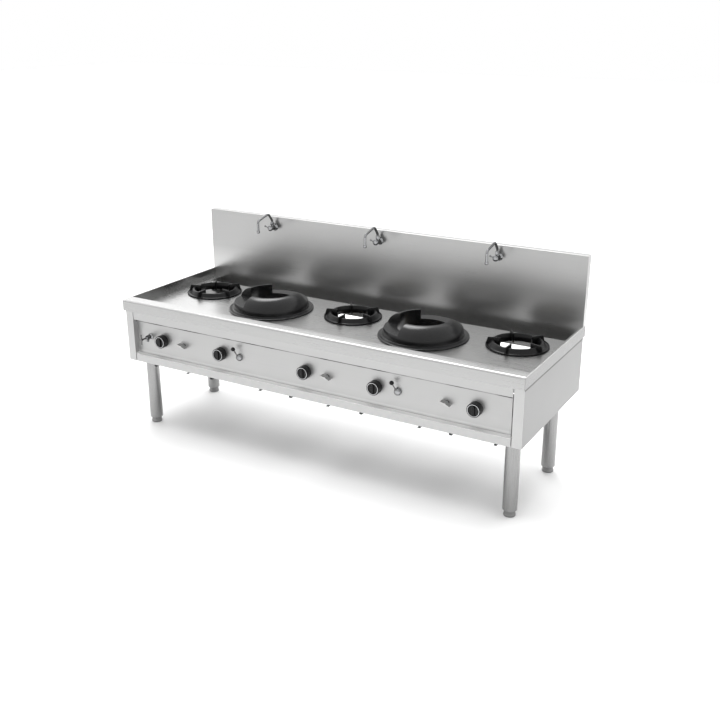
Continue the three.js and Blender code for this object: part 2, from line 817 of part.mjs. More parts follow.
// ---- gas manifold, valves and feed tubes ----
function makeManifold() {
  const end = postInner - 20;
  const inlet = [end - 40, manifoldSetback, manifoldZ];
  const pipeRun = rod([-end, manifoldSetback, manifoldZ],
    [end, manifoldSetback, manifoldZ], manifoldRadius, 10);
  const tail = rod(inlet, [inlet[0], bodyRear, manifoldZ], manifoldRadius, 10);
  const union = rod([inlet[0], bodyRear - 34, manifoldZ],
    [inlet[0], bodyRear + 8, manifoldZ], manifoldRadius + 6, 6);
  const hangers = [-1, 0, 1].map((step) => {
    const x = step * (end - hangerInset) + hangerShift;
    return box(x - 12, x + 12, faceFront + sheet + seat, manifoldSetback, manifoldZ - 2, manifoldZ + 2);
  });
  const bore = rod([inlet[0], bodyRear - 40, manifoldZ],
    [inlet[0], bodyRear + 9, manifoldZ], manifoldRadius - 3, 10);
  const valves = knobPlaces.map(gasValve);
  const tubes = knobPlaces.map((_, index) => feedTube(index));
  place('gas_manifold', cut(join([pipeRun, tail, union, ...hangers, ...valves, ...tubes]), [bore]), brass);
}

function gasValve(x) {
  const back = manifoldSetback + valveRadius;
  const front = faceFront + sheet + seat;
  return join([
    rod([x, front, controlHeight], [x, back, controlHeight], valveRadius, 8),
    rod([x, manifoldSetback, manifoldZ], [x, manifoldSetback, controlHeight], valveRadius * 0.7, 6),
    rod([x, front - spindleLength, controlHeight], [x, front + 2, controlHeight], spindleRadius, 8),
  ]);
}

function feedTube(index) {
  const x = knobPlaces[index];
  const target = burnerPlaces[index];
  const tubeZ = headBottom + mixerRadius + 2;
  const y = manifoldSetback;
  const start = [x, y, controlHeight];
  const rise = [x, y, tubeZ];
  const meet = [target, y, tubeZ];
  const nozzle = [target, manifoldSetback + mouthAhead + nozzleEntry, tubeZ];
  const shift = Math.abs(target - x) > 4 * feedRadius;
  const route = shift ? [start, rise, meet, nozzle] : [start, [target, y, tubeZ], nozzle];
  return pipe(route, shift ? Math.min(20, Math.abs(target - x) / 3) : 20, feedRadius, 6, 2);
}

// ---- knobs ----
function makeKnob(index) {
  const x = knobPlaces[index];
  const base = faceFront - seat;
  const face = knobLength - knobGripHeight;
  const body = turnedForward([
    [spindleRadius + seat, 0],
    [knobRadius, 0],
    [knobRadius, knobSkirt],
    [knobFaceRadius, knobSkirt + 2],
    [knobFaceRadius, face + 4.5],
    [knobFaceRadius - knobRing, face + 4.5],
    [knobFaceRadius - knobRing - 1.5, face],
    [0, face],
    [0, spindleLength],
    [spindleRadius + seat, spindleLength],
  ], 20, x, base, controlHeight);
  const half = knobGripWidth / 2;
  const reach = knobFaceRadius - knobRing - 2.5;
  const grip = outline([
    [x - half, controlHeight - reach],
    [x + half, controlHeight - reach],
    [x + half, controlHeight + reach - half],
    [x, controlHeight + reach],
    [x - half, controlHeight + reach - half],
  ]);
  const bar = new THREE.ExtrudeGeometry(grip, {
    depth: knobGripHeight, bevelThickness: 1.2, bevelSize: 1.2, bevelOffset: -1.2, bevelSegments: 1,
  });
  const upright = bar.rotateX(Math.PI / 2).translate(0, base - face + 1, 0);
  place(`knob_${index + 1}`, body.add(solid(upright)), blackPlastic);
}

// ---- lever valves ----
const leverHubY = faceFront - leverValveLength - seat;

function makeLeverValve(index) {
  const x = burnerPlaces[index] + leverValveOffset;
  const tail = faceFront - manifoldSetback - valveRadius;
  const stub = rod([x, manifoldSetback, manifoldZ + manifoldRadius + seat],
    [x, manifoldSetback, controlHeight], valveRadius * 0.7, 12);
  const body = turnedForward([
    [0, tail],
    [valveRadius - 3, tail],
    [valveRadius - 3, seat],
    [leverValveRadius, seat],
    [leverValveRadius, leverValveLength - 2],
    [leverValveRadius - 2, leverValveLength - seat],
    [0, leverValveLength - seat],
  ], 18, x, faceFront, controlHeight);
  place(`lever_valve_${index + 1}`, body.add(stub), chromePlate);
}

function makeValveLever(index) {
  const x = burnerPlaces[index] + leverValveOffset;
  const hub = turnedForward([
    [0, 0],
    [leverHubRadius, 0],
    [leverHubRadius, leverHubLength * 0.4],
    [leverHubRadius * 0.85, leverHubLength * 0.75],
    [leverHubRadius * 0.5, leverHubLength],
    [0, leverHubLength],
  ], 16, x, leverHubY, controlHeight);
  const root = [x, leverHubY - leverHubLength / 2, controlHeight];
  const tip = root.map((value, axis) => value + leverReach[axis]);
  place(`valve_lever_${index + 1}`, join([
    hub,
    rod(root, tip, leverRodRadius, 6),
    ball(tip, leverBallRadius, 12),
  ]), blackPlastic);
}

// ---- pilot cocks ----
const wingY = faceFront - cockLength - seat;

function makePilotCock(order) {
  const x = cockPlaces[order];
  const front = faceFront - cockLength;
  const saddle = manifoldZ + manifoldRadius + seat;
  place(`pilot_cock_${2 * order + 1}`, join([
    rod([x, front, controlHeight], [x, faceFront - seat, controlHeight], cockRadius, 6),
    rod([x, front + 1, controlHeight], [x, manifoldSetback + feedRadius, controlHeight], feedRadius, 12),
    rod([x, manifoldSetback, saddle], [x, manifoldSetback, controlHeight], feedRadius, 12),
  ]), chromePlate);
}

// A flat key: two thin wings across a round hub, deep enough to reach back to the panel.
function makePilotLever(order) {
  const x = cockPlaces[order];
  const half = wingLength / 2;
  const root = wingThick / 2;
  const tip = wingThick / 3;
  const shape = outline([
    [-half, -tip], [-wingHub, -root], [wingHub, -root], [half, -tip],
    [half, tip], [wingHub, root], [-wingHub, root], [-half, tip],
  ]);
  const bar = new THREE.ExtrudeGeometry(shape, {
    depth: wingDepth - 2 * wingEdge,
    bevelThickness: wingEdge,
    bevelSize: wingEdge * 0.8,
    bevelOffset: -wingEdge * 0.8,
    bevelSegments: 1,
  });
  bar.translate(0, 0, wingEdge).rotateX(Math.PI / 2).rotateY(radians(-wingTilt));
  bar.translate(x, wingY, controlHeight);
  const hub = rod([x, wingY, controlHeight], [x, wingY - wingDepth - 1, controlHeight], wingHub, 14);
  place(`pilot_lever_${2 * order + 1}`, join([solid(bar), hub]), chromePlate);
}

// ---- rinse cock with its T-handle ----
function makeRinseCock() {
  const elbow = [rinsePlace, faceFront - rinseLength * 0.45, rinseHeight];
  const mouth = [elbow[0], elbow[1] - 8, elbow[2] - rinseSpoutDrop];
  place('rinse_cock', join([
    turnedForward([
      [0, -rinseTail],
      [waterRadius, -rinseTail],
      [waterRadius, seat],
      [rinseRadius + 5, seat],
      [rinseRadius + 5, 4],
      [rinseRadius - 3, 7],
      [rinseRadius, rinseLength * 0.4],
      [rinseRadius, rinseLength * 0.75],
      [rinseRadius - 4, rinseLength - seat],
      [0, rinseLength - seat],
    ], 16, rinsePlace, faceFront, rinseHeight),
    rod(elbow, mouth, rinseSpoutRadius, 10),
  ]), chromePlate);
}

function makeRinseHandle() {
  const half = handleBarLength / 2;
  place('rinse_handle', join([
    rod([rinsePlace, handleY, rinseHeight],
      [rinsePlace, rinseFront - seat, rinseHeight], handleBarRadius + 0.5, 8),
    rod([rinsePlace, handleY, rinseHeight - half],
      [rinsePlace, handleY, rinseHeight + half], handleBarRadius, 10),
  ]), chromePlate);
}

// ---- wall taps ----
const riserY = splashFront - riserSetback;
const riserBase = tapHeight + tapRadius + 4;

function makeTap(order) {
  const x = tapPlaces[order];
  const tail = splashFront + seat + waterRadius - waterY;
  place(`tap_${order + 1}`, join([
    turnedForward([
      [0, tail],
      [waterRadius, tail],
      [waterRadius, seat],
      [escutcheonRadius, seat],
      [escutcheonRadius - 5, escutcheonThick],
      [tapRadius, escutcheonThick + 6],
      [tapRadius, tapLength],
      [0, tapLength],
    ], 16, x, splashFront, tapHeight),
    rod([x, riserY, tapHeight], [x, riserY, riserBase], riserNutRadius - 3, 10),
  ]), chromePlate);
}

function makeSpout(order) {
  const x = tapPlaces[order];
  const foot = riserBase + seat;
  const shoulder = [x, riserY - spoutLean, riserBase + spoutRise];
  const far = [x, riserY - spoutReach, riserBase + spoutRise - spoutFall];
  const end = [x, far[1], far[2] - spoutDrop];
  const neck = pipe([[x, riserY, foot + 4], [x, riserY, foot + riserNutHeight + 12], shoulder, far, end],
    18, spoutRadius, 8, 3);
  place(`spout_${order + 1}`, join([
    rod([x, riserY, foot], [x, riserY, foot + riserNutHeight], riserNutRadius, 6),
    neck,
    rod([x, far[1], end[2] - nozzleLength + 6], [x, far[1], end[2] + 6], nozzleRadius, 10),
  ]), chromePlate);
}

function makeTapLever(order) {
  const x = tapPlaces[order];
  const hubY = splashFront - tapLength - seat;
  const root = [x, hubY - tapHubLength / 2, tapHeight];
  const rise = tapLeverLength * 0.35;
  const tip = [x - tapLeverLength * 0.55, root[1] - rise, tapHeight + rise];
  place(`tap_lever_${order + 1}`, join([
    turnedForward([
      [0, 0],
      [tapHubRadius, 0],
      [tapHubRadius, tapHubLength - 4],
      [tapHubRadius - 5, tapHubLength],
      [0, tapHubLength],
    ], 14, x, hubY, tapHeight),
    rod(root, tip, tapLeverRadius, 6),
    ball(tip, tapLeverRadius + 1.5, 8),
  ]), chromePlate);
}

// ---- water pipe: along the splashback, down through the deck and forward to the rinse cock ----
function makeWaterPipe() {
  const front = faceFront + rinseTail + seat;
  const run = pipe([
    [tapSpacing, waterY, tapHeight],
    [rinsePlace, waterY, tapHeight],
    [rinsePlace, waterY, rinseHeight],
    [rinsePlace, front, rinseHeight],
  ], 26, waterRadius, 8, 3);
  const end = rinseHeight - inletDrop;
  const inlet = rod([rinsePlace, waterY, end],
    [rinsePlace, waterY, rinseHeight + inletDrop / 2], waterRadius, 8);
  const nut = rod([rinsePlace, waterY, end], [rinsePlace, waterY, end + inletNutHeight], waterRadius + 4, 6);
  place('water_pipe', join([run, inlet, nut]), chromePlate);
}

makeWorktop();
makeChannel();
makeSplashback();
makeSidePanel('side_panel_left', -1);
makeSidePanel('side_panel_right', 1);
makeFrontPanel();
makeBaseFrame();
for (const [corner, spot] of Object.entries(legSpots)) {
  makeLeg(corner, spot);
  makeFoot(corner, spot);
}
burnerPlaces.forEach((_, index) => {
  makeTray(index);
  makeBurner(index);
  makeKnob(index);
  if (isWok(index)) {
    makeWokRing(index);
    makeLeverValve(index);
    makeValveLever(index);
  } else {
    makeTrivet(index);
  }
});
makeManifold();
cockPlaces.forEach((_, order) => {
  makePilotCock(order);
  makePilotLever(order);
});
makeRinseCock();
makeRinseHandle();
tapPlaces.forEach((_, order) => {
  makeTap(order);
  makeSpout(order);
  makeTapLever(order);
});
makeWaterPipe();

export default range;
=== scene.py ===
import bmesh
import bpy
import json
import math
import numpy as np
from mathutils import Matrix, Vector


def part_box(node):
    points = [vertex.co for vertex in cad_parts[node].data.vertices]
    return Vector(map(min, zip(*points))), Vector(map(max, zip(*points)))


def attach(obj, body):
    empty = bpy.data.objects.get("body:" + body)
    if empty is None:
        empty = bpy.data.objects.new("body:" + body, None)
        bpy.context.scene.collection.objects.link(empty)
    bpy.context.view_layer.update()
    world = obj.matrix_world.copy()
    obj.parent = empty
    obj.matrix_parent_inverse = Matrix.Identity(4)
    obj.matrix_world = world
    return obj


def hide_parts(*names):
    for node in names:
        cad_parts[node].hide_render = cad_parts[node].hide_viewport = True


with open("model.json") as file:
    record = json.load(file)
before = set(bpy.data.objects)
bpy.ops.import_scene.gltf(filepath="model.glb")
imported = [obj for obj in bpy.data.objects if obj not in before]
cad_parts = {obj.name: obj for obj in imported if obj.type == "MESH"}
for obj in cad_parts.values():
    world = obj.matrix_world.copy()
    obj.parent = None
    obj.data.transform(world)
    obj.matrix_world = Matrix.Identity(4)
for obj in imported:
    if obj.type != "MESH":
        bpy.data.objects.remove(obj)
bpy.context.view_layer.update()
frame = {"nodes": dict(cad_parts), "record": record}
nodes = frame["nodes"]
record = frame["record"]
nodeBody = {node: body for body, names in record["behaviour"]["bodies"].items() for node in names}
nodeSlot = {part["node"]: part["material_slot"] for part in record["subparts"]}
scene = bpy.context.scene
print("wok range: frame loaded,", len(nodes), "nodes")


# The camera stands where the photograph was taken from. Angles are in degrees.
camera = {
    "place": (2.6472, -4.3248, 2.4107),
    "azimuth": 29.943,
    "elevation": 19.421,
    "lens": 47.355,
    "sensor": 36,
    "shift": (-0.00932, -0.02458),
    "reach": 60,
}

lensData = bpy.data.cameras.new("photoCamera")
lensData.sensor_fit = "HORIZONTAL"
lensData.sensor_width = camera["sensor"]
lensData.lens = camera["lens"]
lensData.shift_x, lensData.shift_y = camera["shift"]
lensData.clip_end = camera["reach"]
photoCamera = bpy.data.objects.new("photoCamera", lensData)
photoCamera.location = camera["place"]
photoCamera.rotation_euler = (
    math.radians(90 - camera["elevation"]), 0, math.radians(camera["azimuth"]))
scene.collection.objects.link(photoCamera)
scene.camera = photoCamera
scene.view_settings.view_transform = "Standard"


# Helpers that build shader nodes
def newMaterial(name):
    mat = bpy.data.materials.new(name)
    mat.use_nodes = True
    mat.node_tree.nodes.clear()
    return mat


def addNode(tree, kind, **settings):
    node = tree.nodes.new(kind)
    for key, value in settings.items():
        setattr(node, key, value)
    return node


# Sets a number, place or colour on an input, or links another node's output to it.
def feed(tree, source, target):
    if isinstance(source, (int, float, tuple)):
        target.default_value = source
    else:
        tree.links.new(source, target)


def feedAll(tree, node, values):
    for label, value in values.items():
        feed(tree, value, node.inputs[label])


def mathNode(tree, operation, *values):
    node = addNode(tree, "ShaderNodeMath", operation=operation)
    for value, socket in zip(values, node.inputs):
        feed(tree, value, socket)
    return node.outputs[0]


def noiseNode(tree, vector, scale, detail, roughness):
    node = addNode(tree, "ShaderNodeTexNoise")
    feedAll(tree, node, {
        "Vector": vector, "Scale": scale, "Detail": detail, "Roughness": roughness})
    return node.outputs["Fac"]


def rampNode(tree, source, low, high, outLow=0.0, outHigh=1.0):
    node = addNode(tree, "ShaderNodeMapRange", clamp=True)
    for value, socket in zip((source, low, high, outLow, outHigh), node.inputs):
        feed(tree, value, socket)
    return node.outputs[0]


def mixNode(tree, factor, first, second, **settings):
    node = addNode(tree, "ShaderNodeMix", **settings)
    feedAll(tree, node, {"Factor": factor, "A": first, "B": second})
    return node.outputs["Result"]


def objectPoint(tree, scale=(1, 1, 1)):
    coords = addNode(tree, "ShaderNodeTexCoord")
    mapping = addNode(tree, "ShaderNodeMapping")
    feedAll(tree, mapping, {"Vector": coords.outputs["Object"], "Scale": scale})
    return mapping.outputs["Vector"]


def newGroup(name, inputs, outputs):
    group = bpy.data.node_groups.new(name, "ShaderNodeTree")
    for label, kind, value in inputs:
        socket = group.interface.new_socket(label, in_out="INPUT", socket_type=kind)
        if value is not None:
            socket.default_value = value
    for label, kind in outputs:
        group.interface.new_socket(label, in_out="OUTPUT", socket_type=kind)
    entry = group.nodes.new("NodeGroupInput")
    leave = group.nodes.new("NodeGroupOutput")
    return group, entry.outputs, leave.inputs


# Shared by all finishes: noise is given as (detail, roughness), a ramp as (from, to).
finish = {
    "lineNoise": (4.0, 0.7),
    "smudgeScale": 2.4,
    "smudgeNoise": (3.0, 0.5),
    "roughSpread": 0.06,
    "toneSpread": 0.05,
    "steelBump": (0.06, 0.0002),
    "fineNoise": (4.0, 0.6),
    "broadNoise": (3.0, 0.5),
    "broadShare": 0.06,
    "noiseRamp": (0.3, 0.7),
    "noiseMiddle": 0.5,
    "bumpStrength": 0.5,
    "grazingShadeRamp": (0.15, 0.65),
    "zoneSoft": 0.0006,
    "patchNoise": (2.0, 0.5),
    "patchRamp": (0.38, 0.62, 0.35, 1.0),
}
multiplyColor = {"data_type": "RGBA", "blend_type": "MULTIPLY"}


# Satin grain: fine lines along one direction, from noise stretched a hundredfold.
def makeGrainGroup():
    group, entry, leave = newGroup(
        "satinGrain",
        [("Vector", "NodeSocketVector", None), ("Roughness", "NodeSocketFloat", None),
         ("Spread", "NodeSocketFloat", finish["roughSpread"]), ("Tone", "NodeSocketFloat", None)],
        [("Height", "NodeSocketFloat"), ("Roughness", "NodeSocketFloat"),
         ("Color", "NodeSocketColor")],
    )
    lines = noiseNode(group, entry["Vector"], 1.0, *finish["lineNoise"])
    cloud = addNode(group, "ShaderNodeTexCoord").outputs["Object"]
    smudge = noiseNode(group, cloud, finish["smudgeScale"], *finish["smudgeNoise"])
    offset = mathNode(group, "SUBTRACT", lines, finish["noiseMiddle"])
    drift = mathNode(group, "SUBTRACT", smudge, finish["noiseMiddle"])
    both = mathNode(group, "ADD", offset, drift)
    rough = mathNode(group, "MULTIPLY_ADD", both, entry["Spread"], entry["Roughness"])
    tone = mathNode(group, "MULTIPLY_ADD", offset, finish["toneSpread"], entry["Tone"])
    feed(group, lines, leave["Height"])
    feed(group, rough, leave["Roughness"])
    feed(group, tone, leave["Color"])
    return group


grainGroup = makeGrainGroup()


# One inside the given limits of each axis and none outside, fading over a soft edge.
def zoneMask(tree, zone):
    split = addNode(tree, "ShaderNodeSeparateXYZ")
    feed(tree, objectPoint(tree), split.inputs[0])
    soft = zone.get("soft", finish["zoneSoft"])
    mask = 1.0
    for axis in "xyz":
        if axis in zone:
            low, high = zone[axis]
            value = split.outputs[axis.upper()]
            band = mathNode(tree, "MINIMUM", rampNode(tree, value, low, low + soft),
                            rampNode(tree, value, high - soft, high, 1.0, 0.0))
            mask = mathNode(tree, "MULTIPLY", mask, band)
    if "patches" in zone:
        stretched = objectPoint(tree, (zone["patches"], 1, 1))
        cloud = noiseNode(tree, stretched, 1.0, *finish["patchNoise"])
        patches = rampNode(tree, cloud, *finish["patchRamp"])
        mask = mathNode(tree, "MULTIPLY", mask, patches)
    return mask


# The shader, its bump and the output, which every material keeps outside the groups.
def addSurface(tree, height, strength, distance, values):
    bump = addNode(tree, "ShaderNodeBump")
    feedAll(tree, bump, {"Height": height, "Strength": strength, "Distance": distance})
    shader = addNode(tree, "ShaderNodeBsdfPrincipled")
    feedAll(tree, shader, {**values, "Normal": bump.outputs["Normal"]})
    out = addNode(tree, "ShaderNodeOutputMaterial")
    feed(tree, shader.outputs["BSDF"], out.inputs["Surface"])


# Zones change the steel in places: a painted shade line in a corner, a matt strip with a painted
# highlight on a ledge.
def satinSteel(name, tone, roughness, stretch, tint=(1.0, 1.0, 0.995), zones=()):
    mat = newMaterial(name)
    tree = mat.node_tree
    grain = addNode(tree, "ShaderNodeGroup", node_tree=grainGroup)
    feedAll(tree, grain, {
        "Vector": objectPoint(tree, stretch), "Roughness": roughness, "Tone": tone})
    color = mixNode(tree, 1.0, grain.outputs["Color"], (*tint, 1), **multiplyColor)
    rough, metal = grain.outputs["Roughness"], 1.0
    for zone in zones:
        mask = zoneMask(tree, zone)
        if "tone" in zone:
            grey = (zone["tone"], zone["tone"], zone["tone"], 1)
            color = mixNode(tree, mask, color, grey, **multiplyColor)
        if "roughness" in zone:
            rough = mixNode(tree, mask, rough, zone["roughness"])
        if "metal" in zone:
            metal = mixNode(tree, mask, metal, zone["metal"])
    addSurface(tree, grain.outputs["Height"], *finish["steelBump"], {
        "Base Color": color, "Roughness": rough, "Metallic": metal})
    return mat


# Castings, plastic and plating: a fine grain in relief and gloss, and broad clouds in tone; a
# tone below one paints a dark reflection where the surface is seen edge-on.
def speckled(name, color, roughness, metallic, grain, relief, vary, glossLevel=0.5, grazingShadeTone=1.0):
    mat = newMaterial(name)
    tree = mat.node_tree
    point = objectPoint(tree)
    fine = noiseNode(tree, point, grain, *finish["fineNoise"])
    broad = noiseNode(tree, point, grain * finish["broadShare"], *finish["broadNoise"])
    tone = rampNode(tree, broad, *finish["noiseRamp"], 1 - vary, 1 + vary)
    # Painted reflection: the colour darkens towards grazing view, in place of the dark
    # surroundings a mirror would show there.
    if grazingShadeTone < 1:
        facing = addNode(tree, "ShaderNodeLayerWeight").outputs["Facing"]
        grazingShade = rampNode(tree, facing, *finish["grazingShadeRamp"], 1.0, grazingShadeTone)
        tone = mathNode(tree, "MULTIPLY", tone, grazingShade)
    spread = finish["roughSpread"]
    addSurface(tree, fine, finish["bumpStrength"], relief, {
        "Base Color": mixNode(tree, 1.0, (*color, 1), tone, **multiplyColor),
        "Roughness": rampNode(
            tree, fine, *finish["noiseRamp"], roughness - spread, roughness + spread),
        "Metallic": metallic,
        "Specular IOR Level": glossLevel,
    })
    return mat


# Limits in metres along the axes of the range: x to the right, y to the back, z up.
steelZones = {
    "face": {"y": (-0.40, -0.30), "z": (0.40, 0.74), "roughness": 0.44},
    # Painted shade: a broken dark line on the face just under the upper rail, where the rail
    # shades it.
    "railShadeLine": {
        "y": (-0.40, -0.36), "z": (0.665, 0.684), "tone": 0.10, "patches": 7.0, "soft": 0.002},
    # Painted highlight: the ledge's tone raised into a bright band, on rougher and less metallic
    # steel.
    "ledgeHighlight": {
        "y": (-0.416, -0.3868), "z": (0.4675, 0.4795), "tone": 1.8, "roughness": 0.6,
        "metal": 0.15},
    # Painted light: the foot of the control face made lighter than the rest of the face.
    "faceFootLight": {"y": (-0.40, -0.36), "z": (0.470, 0.496), "tone": 1.28, "soft": 0.009},
    # Painted shade: the frame's front ends under the body made nearly black.
    "runnerEndShade": {"y": (-0.45, -0.30), "z": (0.30, 0.4245), "tone": 0.12},
    # Painted shade: the side panels behind the front posts made darker than the front.
    "cheekShade": {"y": (-0.4125, 0.5), "z": (0.0, 1.0), "tone": 0.54},
    # Painted shade: the worktop's front edge face made darker than its top.
    "railFaceShade": {"y": (-0.435, -0.4275), "z": (0.73, 0.797), "tone": 0.87},
    # Painted shade: the worktop's two end faces made darker than its top.
    "rightEndShade": {"x": (1.2485, 1.26), "z": (0.73, 0.797), "tone": 0.49},
    "leftEndShade": {"x": (-1.26, -1.2485), "z": (0.73, 0.797), "tone": 0.49},
    # Painted light: the splashback made lighter near its foot, fading upwards.
    "wallFootLight": {"z": (0.70, 0.96), "tone": 1.28, "soft": 0.10},
    # Painted shade: a dark line on the side panels just under the worktop's side skirt.
    "skirtShadeLine": {"y": (-0.4125, 0.5), "z": (0.7195, 0.7305), "tone": 0.25, "soft": 0.002},
}


def zonesOf(*names):
    return [steelZones[name] for name in names]


# How tightly the noise is packed along x, y and z: small along the grain's own lines.
grainAlong = {
    "width": (3, 900, 900),
    "depth": (900, 3, 900),
    "height": (700, 700, 3),
    "turned": (60, 60, 400),
    "cast": (200, 200, 200),
    "zinc": (60, 60, 60),
}
# Painted shade: the stainless copies differ in tone by place, the front, side, wall, tray and leg
# steels set darker than the worktop's.
steelLong = satinSteel("satinSteelLong", 0.46, 0.275, grainAlong["width"],
                       zones=zonesOf("railFaceShade", "rightEndShade", "leftEndShade"))
steelFront = satinSteel("satinSteelFront", 0.425, 0.36, grainAlong["width"],
                        zones=zonesOf("face", "railShadeLine", "ledgeHighlight", "faceFootLight"))
steelSide = satinSteel("satinSteelSide", 0.44, 0.34, grainAlong["depth"],
                       zones=zonesOf("cheekShade", "skirtShadeLine"))
steelWall = satinSteel("satinSteelWall", 0.405, 0.29, grainAlong["width"],
                       zones=zonesOf("wallFootLight"))
steelDeep = satinSteel("satinSteelDeep", 0.29, 0.34, grainAlong["depth"])
steelTube = satinSteel("satinSteelTube", 0.30, 0.27, grainAlong["height"])
steelFoot = satinSteel("turnedSteelFoot", 0.24, 0.34, grainAlong["turned"])
steelKey = satinSteel("castKeySteel", 0.46, 0.36, grainAlong["cast"])
steelBar = satinSteel("darkBarSteel", 0.15, 0.34, grainAlong["cast"])
steelDull = satinSteel("galvanizedSteel", 0.42, 0.48, grainAlong["zinc"], (0.97, 1.0, 1.02),
                       zonesOf("runnerEndShade"))
# The plating is darkened where seen edge-on, a painted dark reflection.
chrome = speckled(
    "brightChrome", (0.31, 0.314, 0.32), roughness=0.11, metallic=1.0,
    grain=40, relief=0.00002, vary=0.03, grazingShadeTone=0.06)
bandChrome = speckled(
    "knobRingChrome", (0.46, 0.465, 0.47), roughness=0.16, metallic=1.0,
    grain=40, relief=0.00002, vary=0.03)
castBlack = speckled(
    "blackCastIron", (0.004, 0.004, 0.0042), roughness=0.24, metallic=0.0,
    grain=420, relief=0.00012, vary=0.25, glossLevel=0.36)
trivetBlack = speckled(
    "trivetCastIron", (0.003, 0.003, 0.0032), roughness=0.28, metallic=0.0,
    grain=420, relief=0.00012, vary=0.25, glossLevel=0.2)
plasticBlack = speckled(
    "blackPlastic", (0.004, 0.004, 0.0044), roughness=0.3, metallic=0.0,
    grain=900, relief=0.00005, vary=0.1, glossLevel=0.28)
brassRaw = speckled(
    "machinedBrass", (0.55, 0.40, 0.17), roughness=0.32, metallic=1.0,
    grain=300, relief=0.00003, vary=0.1)

slotMaterial = {
    "stainless": steelLong,
    "stainless_tube": steelTube,
    "frame_steel": steelDull,
    "cast_iron": castBlack,
    "knob_black": plasticBlack,
    "lever_black": plasticBlack,
    "chrome_plate": chrome,
    "brass": brassRaw,
}
print("wok range: materials")


# Helpers that build meshes
edges = {
    "mergeDistance": 0.00001,
    "flatAngle": math.radians(0.6),
    "sharpAngle": math.radians(34),
    "bevelSegments": 2,
    "sheetRound": 0.0004,
    "solidRound": 0.0005,
    "trimShare": 0.45,
}
front = np.array((0.0, -1.0, 0.0))


# Quads of a grid of points, row by row; a wrapped direction joins its last line to its first.
def gridFaces(rows, columns, wrapRows, wrapColumns):
    row = np.arange(rows if wrapRows else rows - 1)
    column = np.arange(columns if wrapColumns else columns - 1)
    i, j = np.meshgrid(row, column, indexing="ij")
    nextI, nextJ = (i + 1) % rows, (j + 1) % columns
    corners = (i, j), (nextI, j), (nextI, nextJ), (i, nextJ)
    return np.stack([a * columns + b for a, b in corners], -1).reshape(-1, 4)


# Outlines of one count, one behind another: quads between neighbours and a cap at each end.
def stacked(layers):
    layers = np.asarray(layers, float)
    rows, count = layers.shape[:2]
    walls = [tuple(quad) for quad in gridFaces(rows, count, False, True)]
    last = count * (rows - 1)
    return layers, walls + [tuple(range(count)), tuple(range(last, last + count))]


# Corners replaced by quadratic curves that leave and meet both sides smoothly:
# (1 - t)^2 * start + 2 t (1 - t) * corner + t^2 * end.
def roundCorners(points, radius, steps, closed=True):
    points = np.asarray(points, float)
    radii = np.broadcast_to(radius, len(points))
    t = np.linspace(0, 1, steps)[:, None]
    made = []
    for index, corner in enumerate(points):
        if not closed and index in (0, len(points) - 1):
            made.append(corner[None, :])
            continue
        before = points[index - 1] - corner
        after = points[(index + 1) % len(points)] - corner
        lengths = np.linalg.norm(before), np.linalg.norm(after)
        trim = min(radii[index], *(edges["trimShare"] * length for length in lengths))
        start = corner + before / lengths[0] * trim
        end = corner + after / lengths[1] * trim
        made.append((1 - t) ** 2 * start + 2 * t * (1 - t) * corner + t ** 2 * end)
    return np.concatenate(made)


# Rows of (radius, height, rounding of that corner) made one line.
def profileLine(rows, steps, closed=False):
    rows = np.asarray(rows, float)
    return roundCorners(rows[:, :2], rows[:, 2], steps, closed)


# A profile turned round an axis: centre + radius * (cos a * x + sin a * across) + height * axis.
def turned(profile, sides, centre, axis=(0, 0, 1), closed=False):
    profile = np.asarray(profile, float)
    axis = np.asarray(axis, float)
    side = np.array((1.0, 0, 0))
    across = np.cross(axis, side)
    angle = np.linspace(0, 2 * np.pi, sides, endpoint=False)[:, None, None]
    spoke = np.cos(angle) * side + np.sin(angle) * across
    grid = np.asarray(centre) + profile[None, :, :1] * spoke + profile[None, :, 1:] * axis
    return grid, gridFaces(grid.shape[0], grid.shape[1], True, closed)


# A round section carried along a path: point + radius * (cos a * first + sin a * second),
# where first and second stand square to the path.
def tube(path, radius, sides):
    path = np.asarray(path, float)
    radius = np.broadcast_to(radius, len(path))[:, None, None]
    along = np.gradient(path, axis=0)
    along /= np.linalg.norm(along, axis=1)[:, None]
    first = np.cross(along, (1.0, 0.0, 0.0))
    first /= np.linalg.norm(first, axis=1)[:, None]
    second = np.cross(along, first)
    angle = np.linspace(0, 2 * np.pi, sides, endpoint=False)[None, :, None]
    spoke = np.cos(angle) * first[:, None, :] + np.sin(angle) * second[:, None, :]
    return stacked(path[:, None, :] + radius * spoke)


# A turned shape from its dictionary: rows of (radius, height) and, with steps, a rounding.
def lathe(shape, centre, axis=(0, 0, 1)):
    rows, closed = shape["rows"], shape.get("closed", False)
    if "steps" in shape:
        rows = profileLine(rows, shape["steps"], closed)
    return turned(rows, shape["sides"], centre, axis, closed)


# A straight rod: start + t * (end - start), its radius going from the first value to the last.
def rod(shape, start, end):
    path = start + np.linspace(0, 1, shape["steps"])[:, None] * (end - start)
    return tube(path, np.linspace(*shape["radii"], shape["steps"]), shape["sides"])


# A ball: a half circle of (r sin t, -r cos t) turned round the upright axis.
def globe(shape, centre):
    turn = np.linspace(0, np.pi, shape["rings"])
    half = np.column_stack((shape["radius"] * np.sin(turn), -shape["radius"] * np.cos(turn)))
    return turned(half, shape["sides"], centre)


# Smooth faces, with edges past the sharp angle kept sharp.
def writeSmooth(work, mesh):
    for face in work.faces:
        face.smooth = True
    for edge in work.edges:
        edge.smooth = edge.is_manifold and edge.calc_face_angle(0) < edges["sharpAngle"]
    work.to_mesh(mesh)
    work.free()


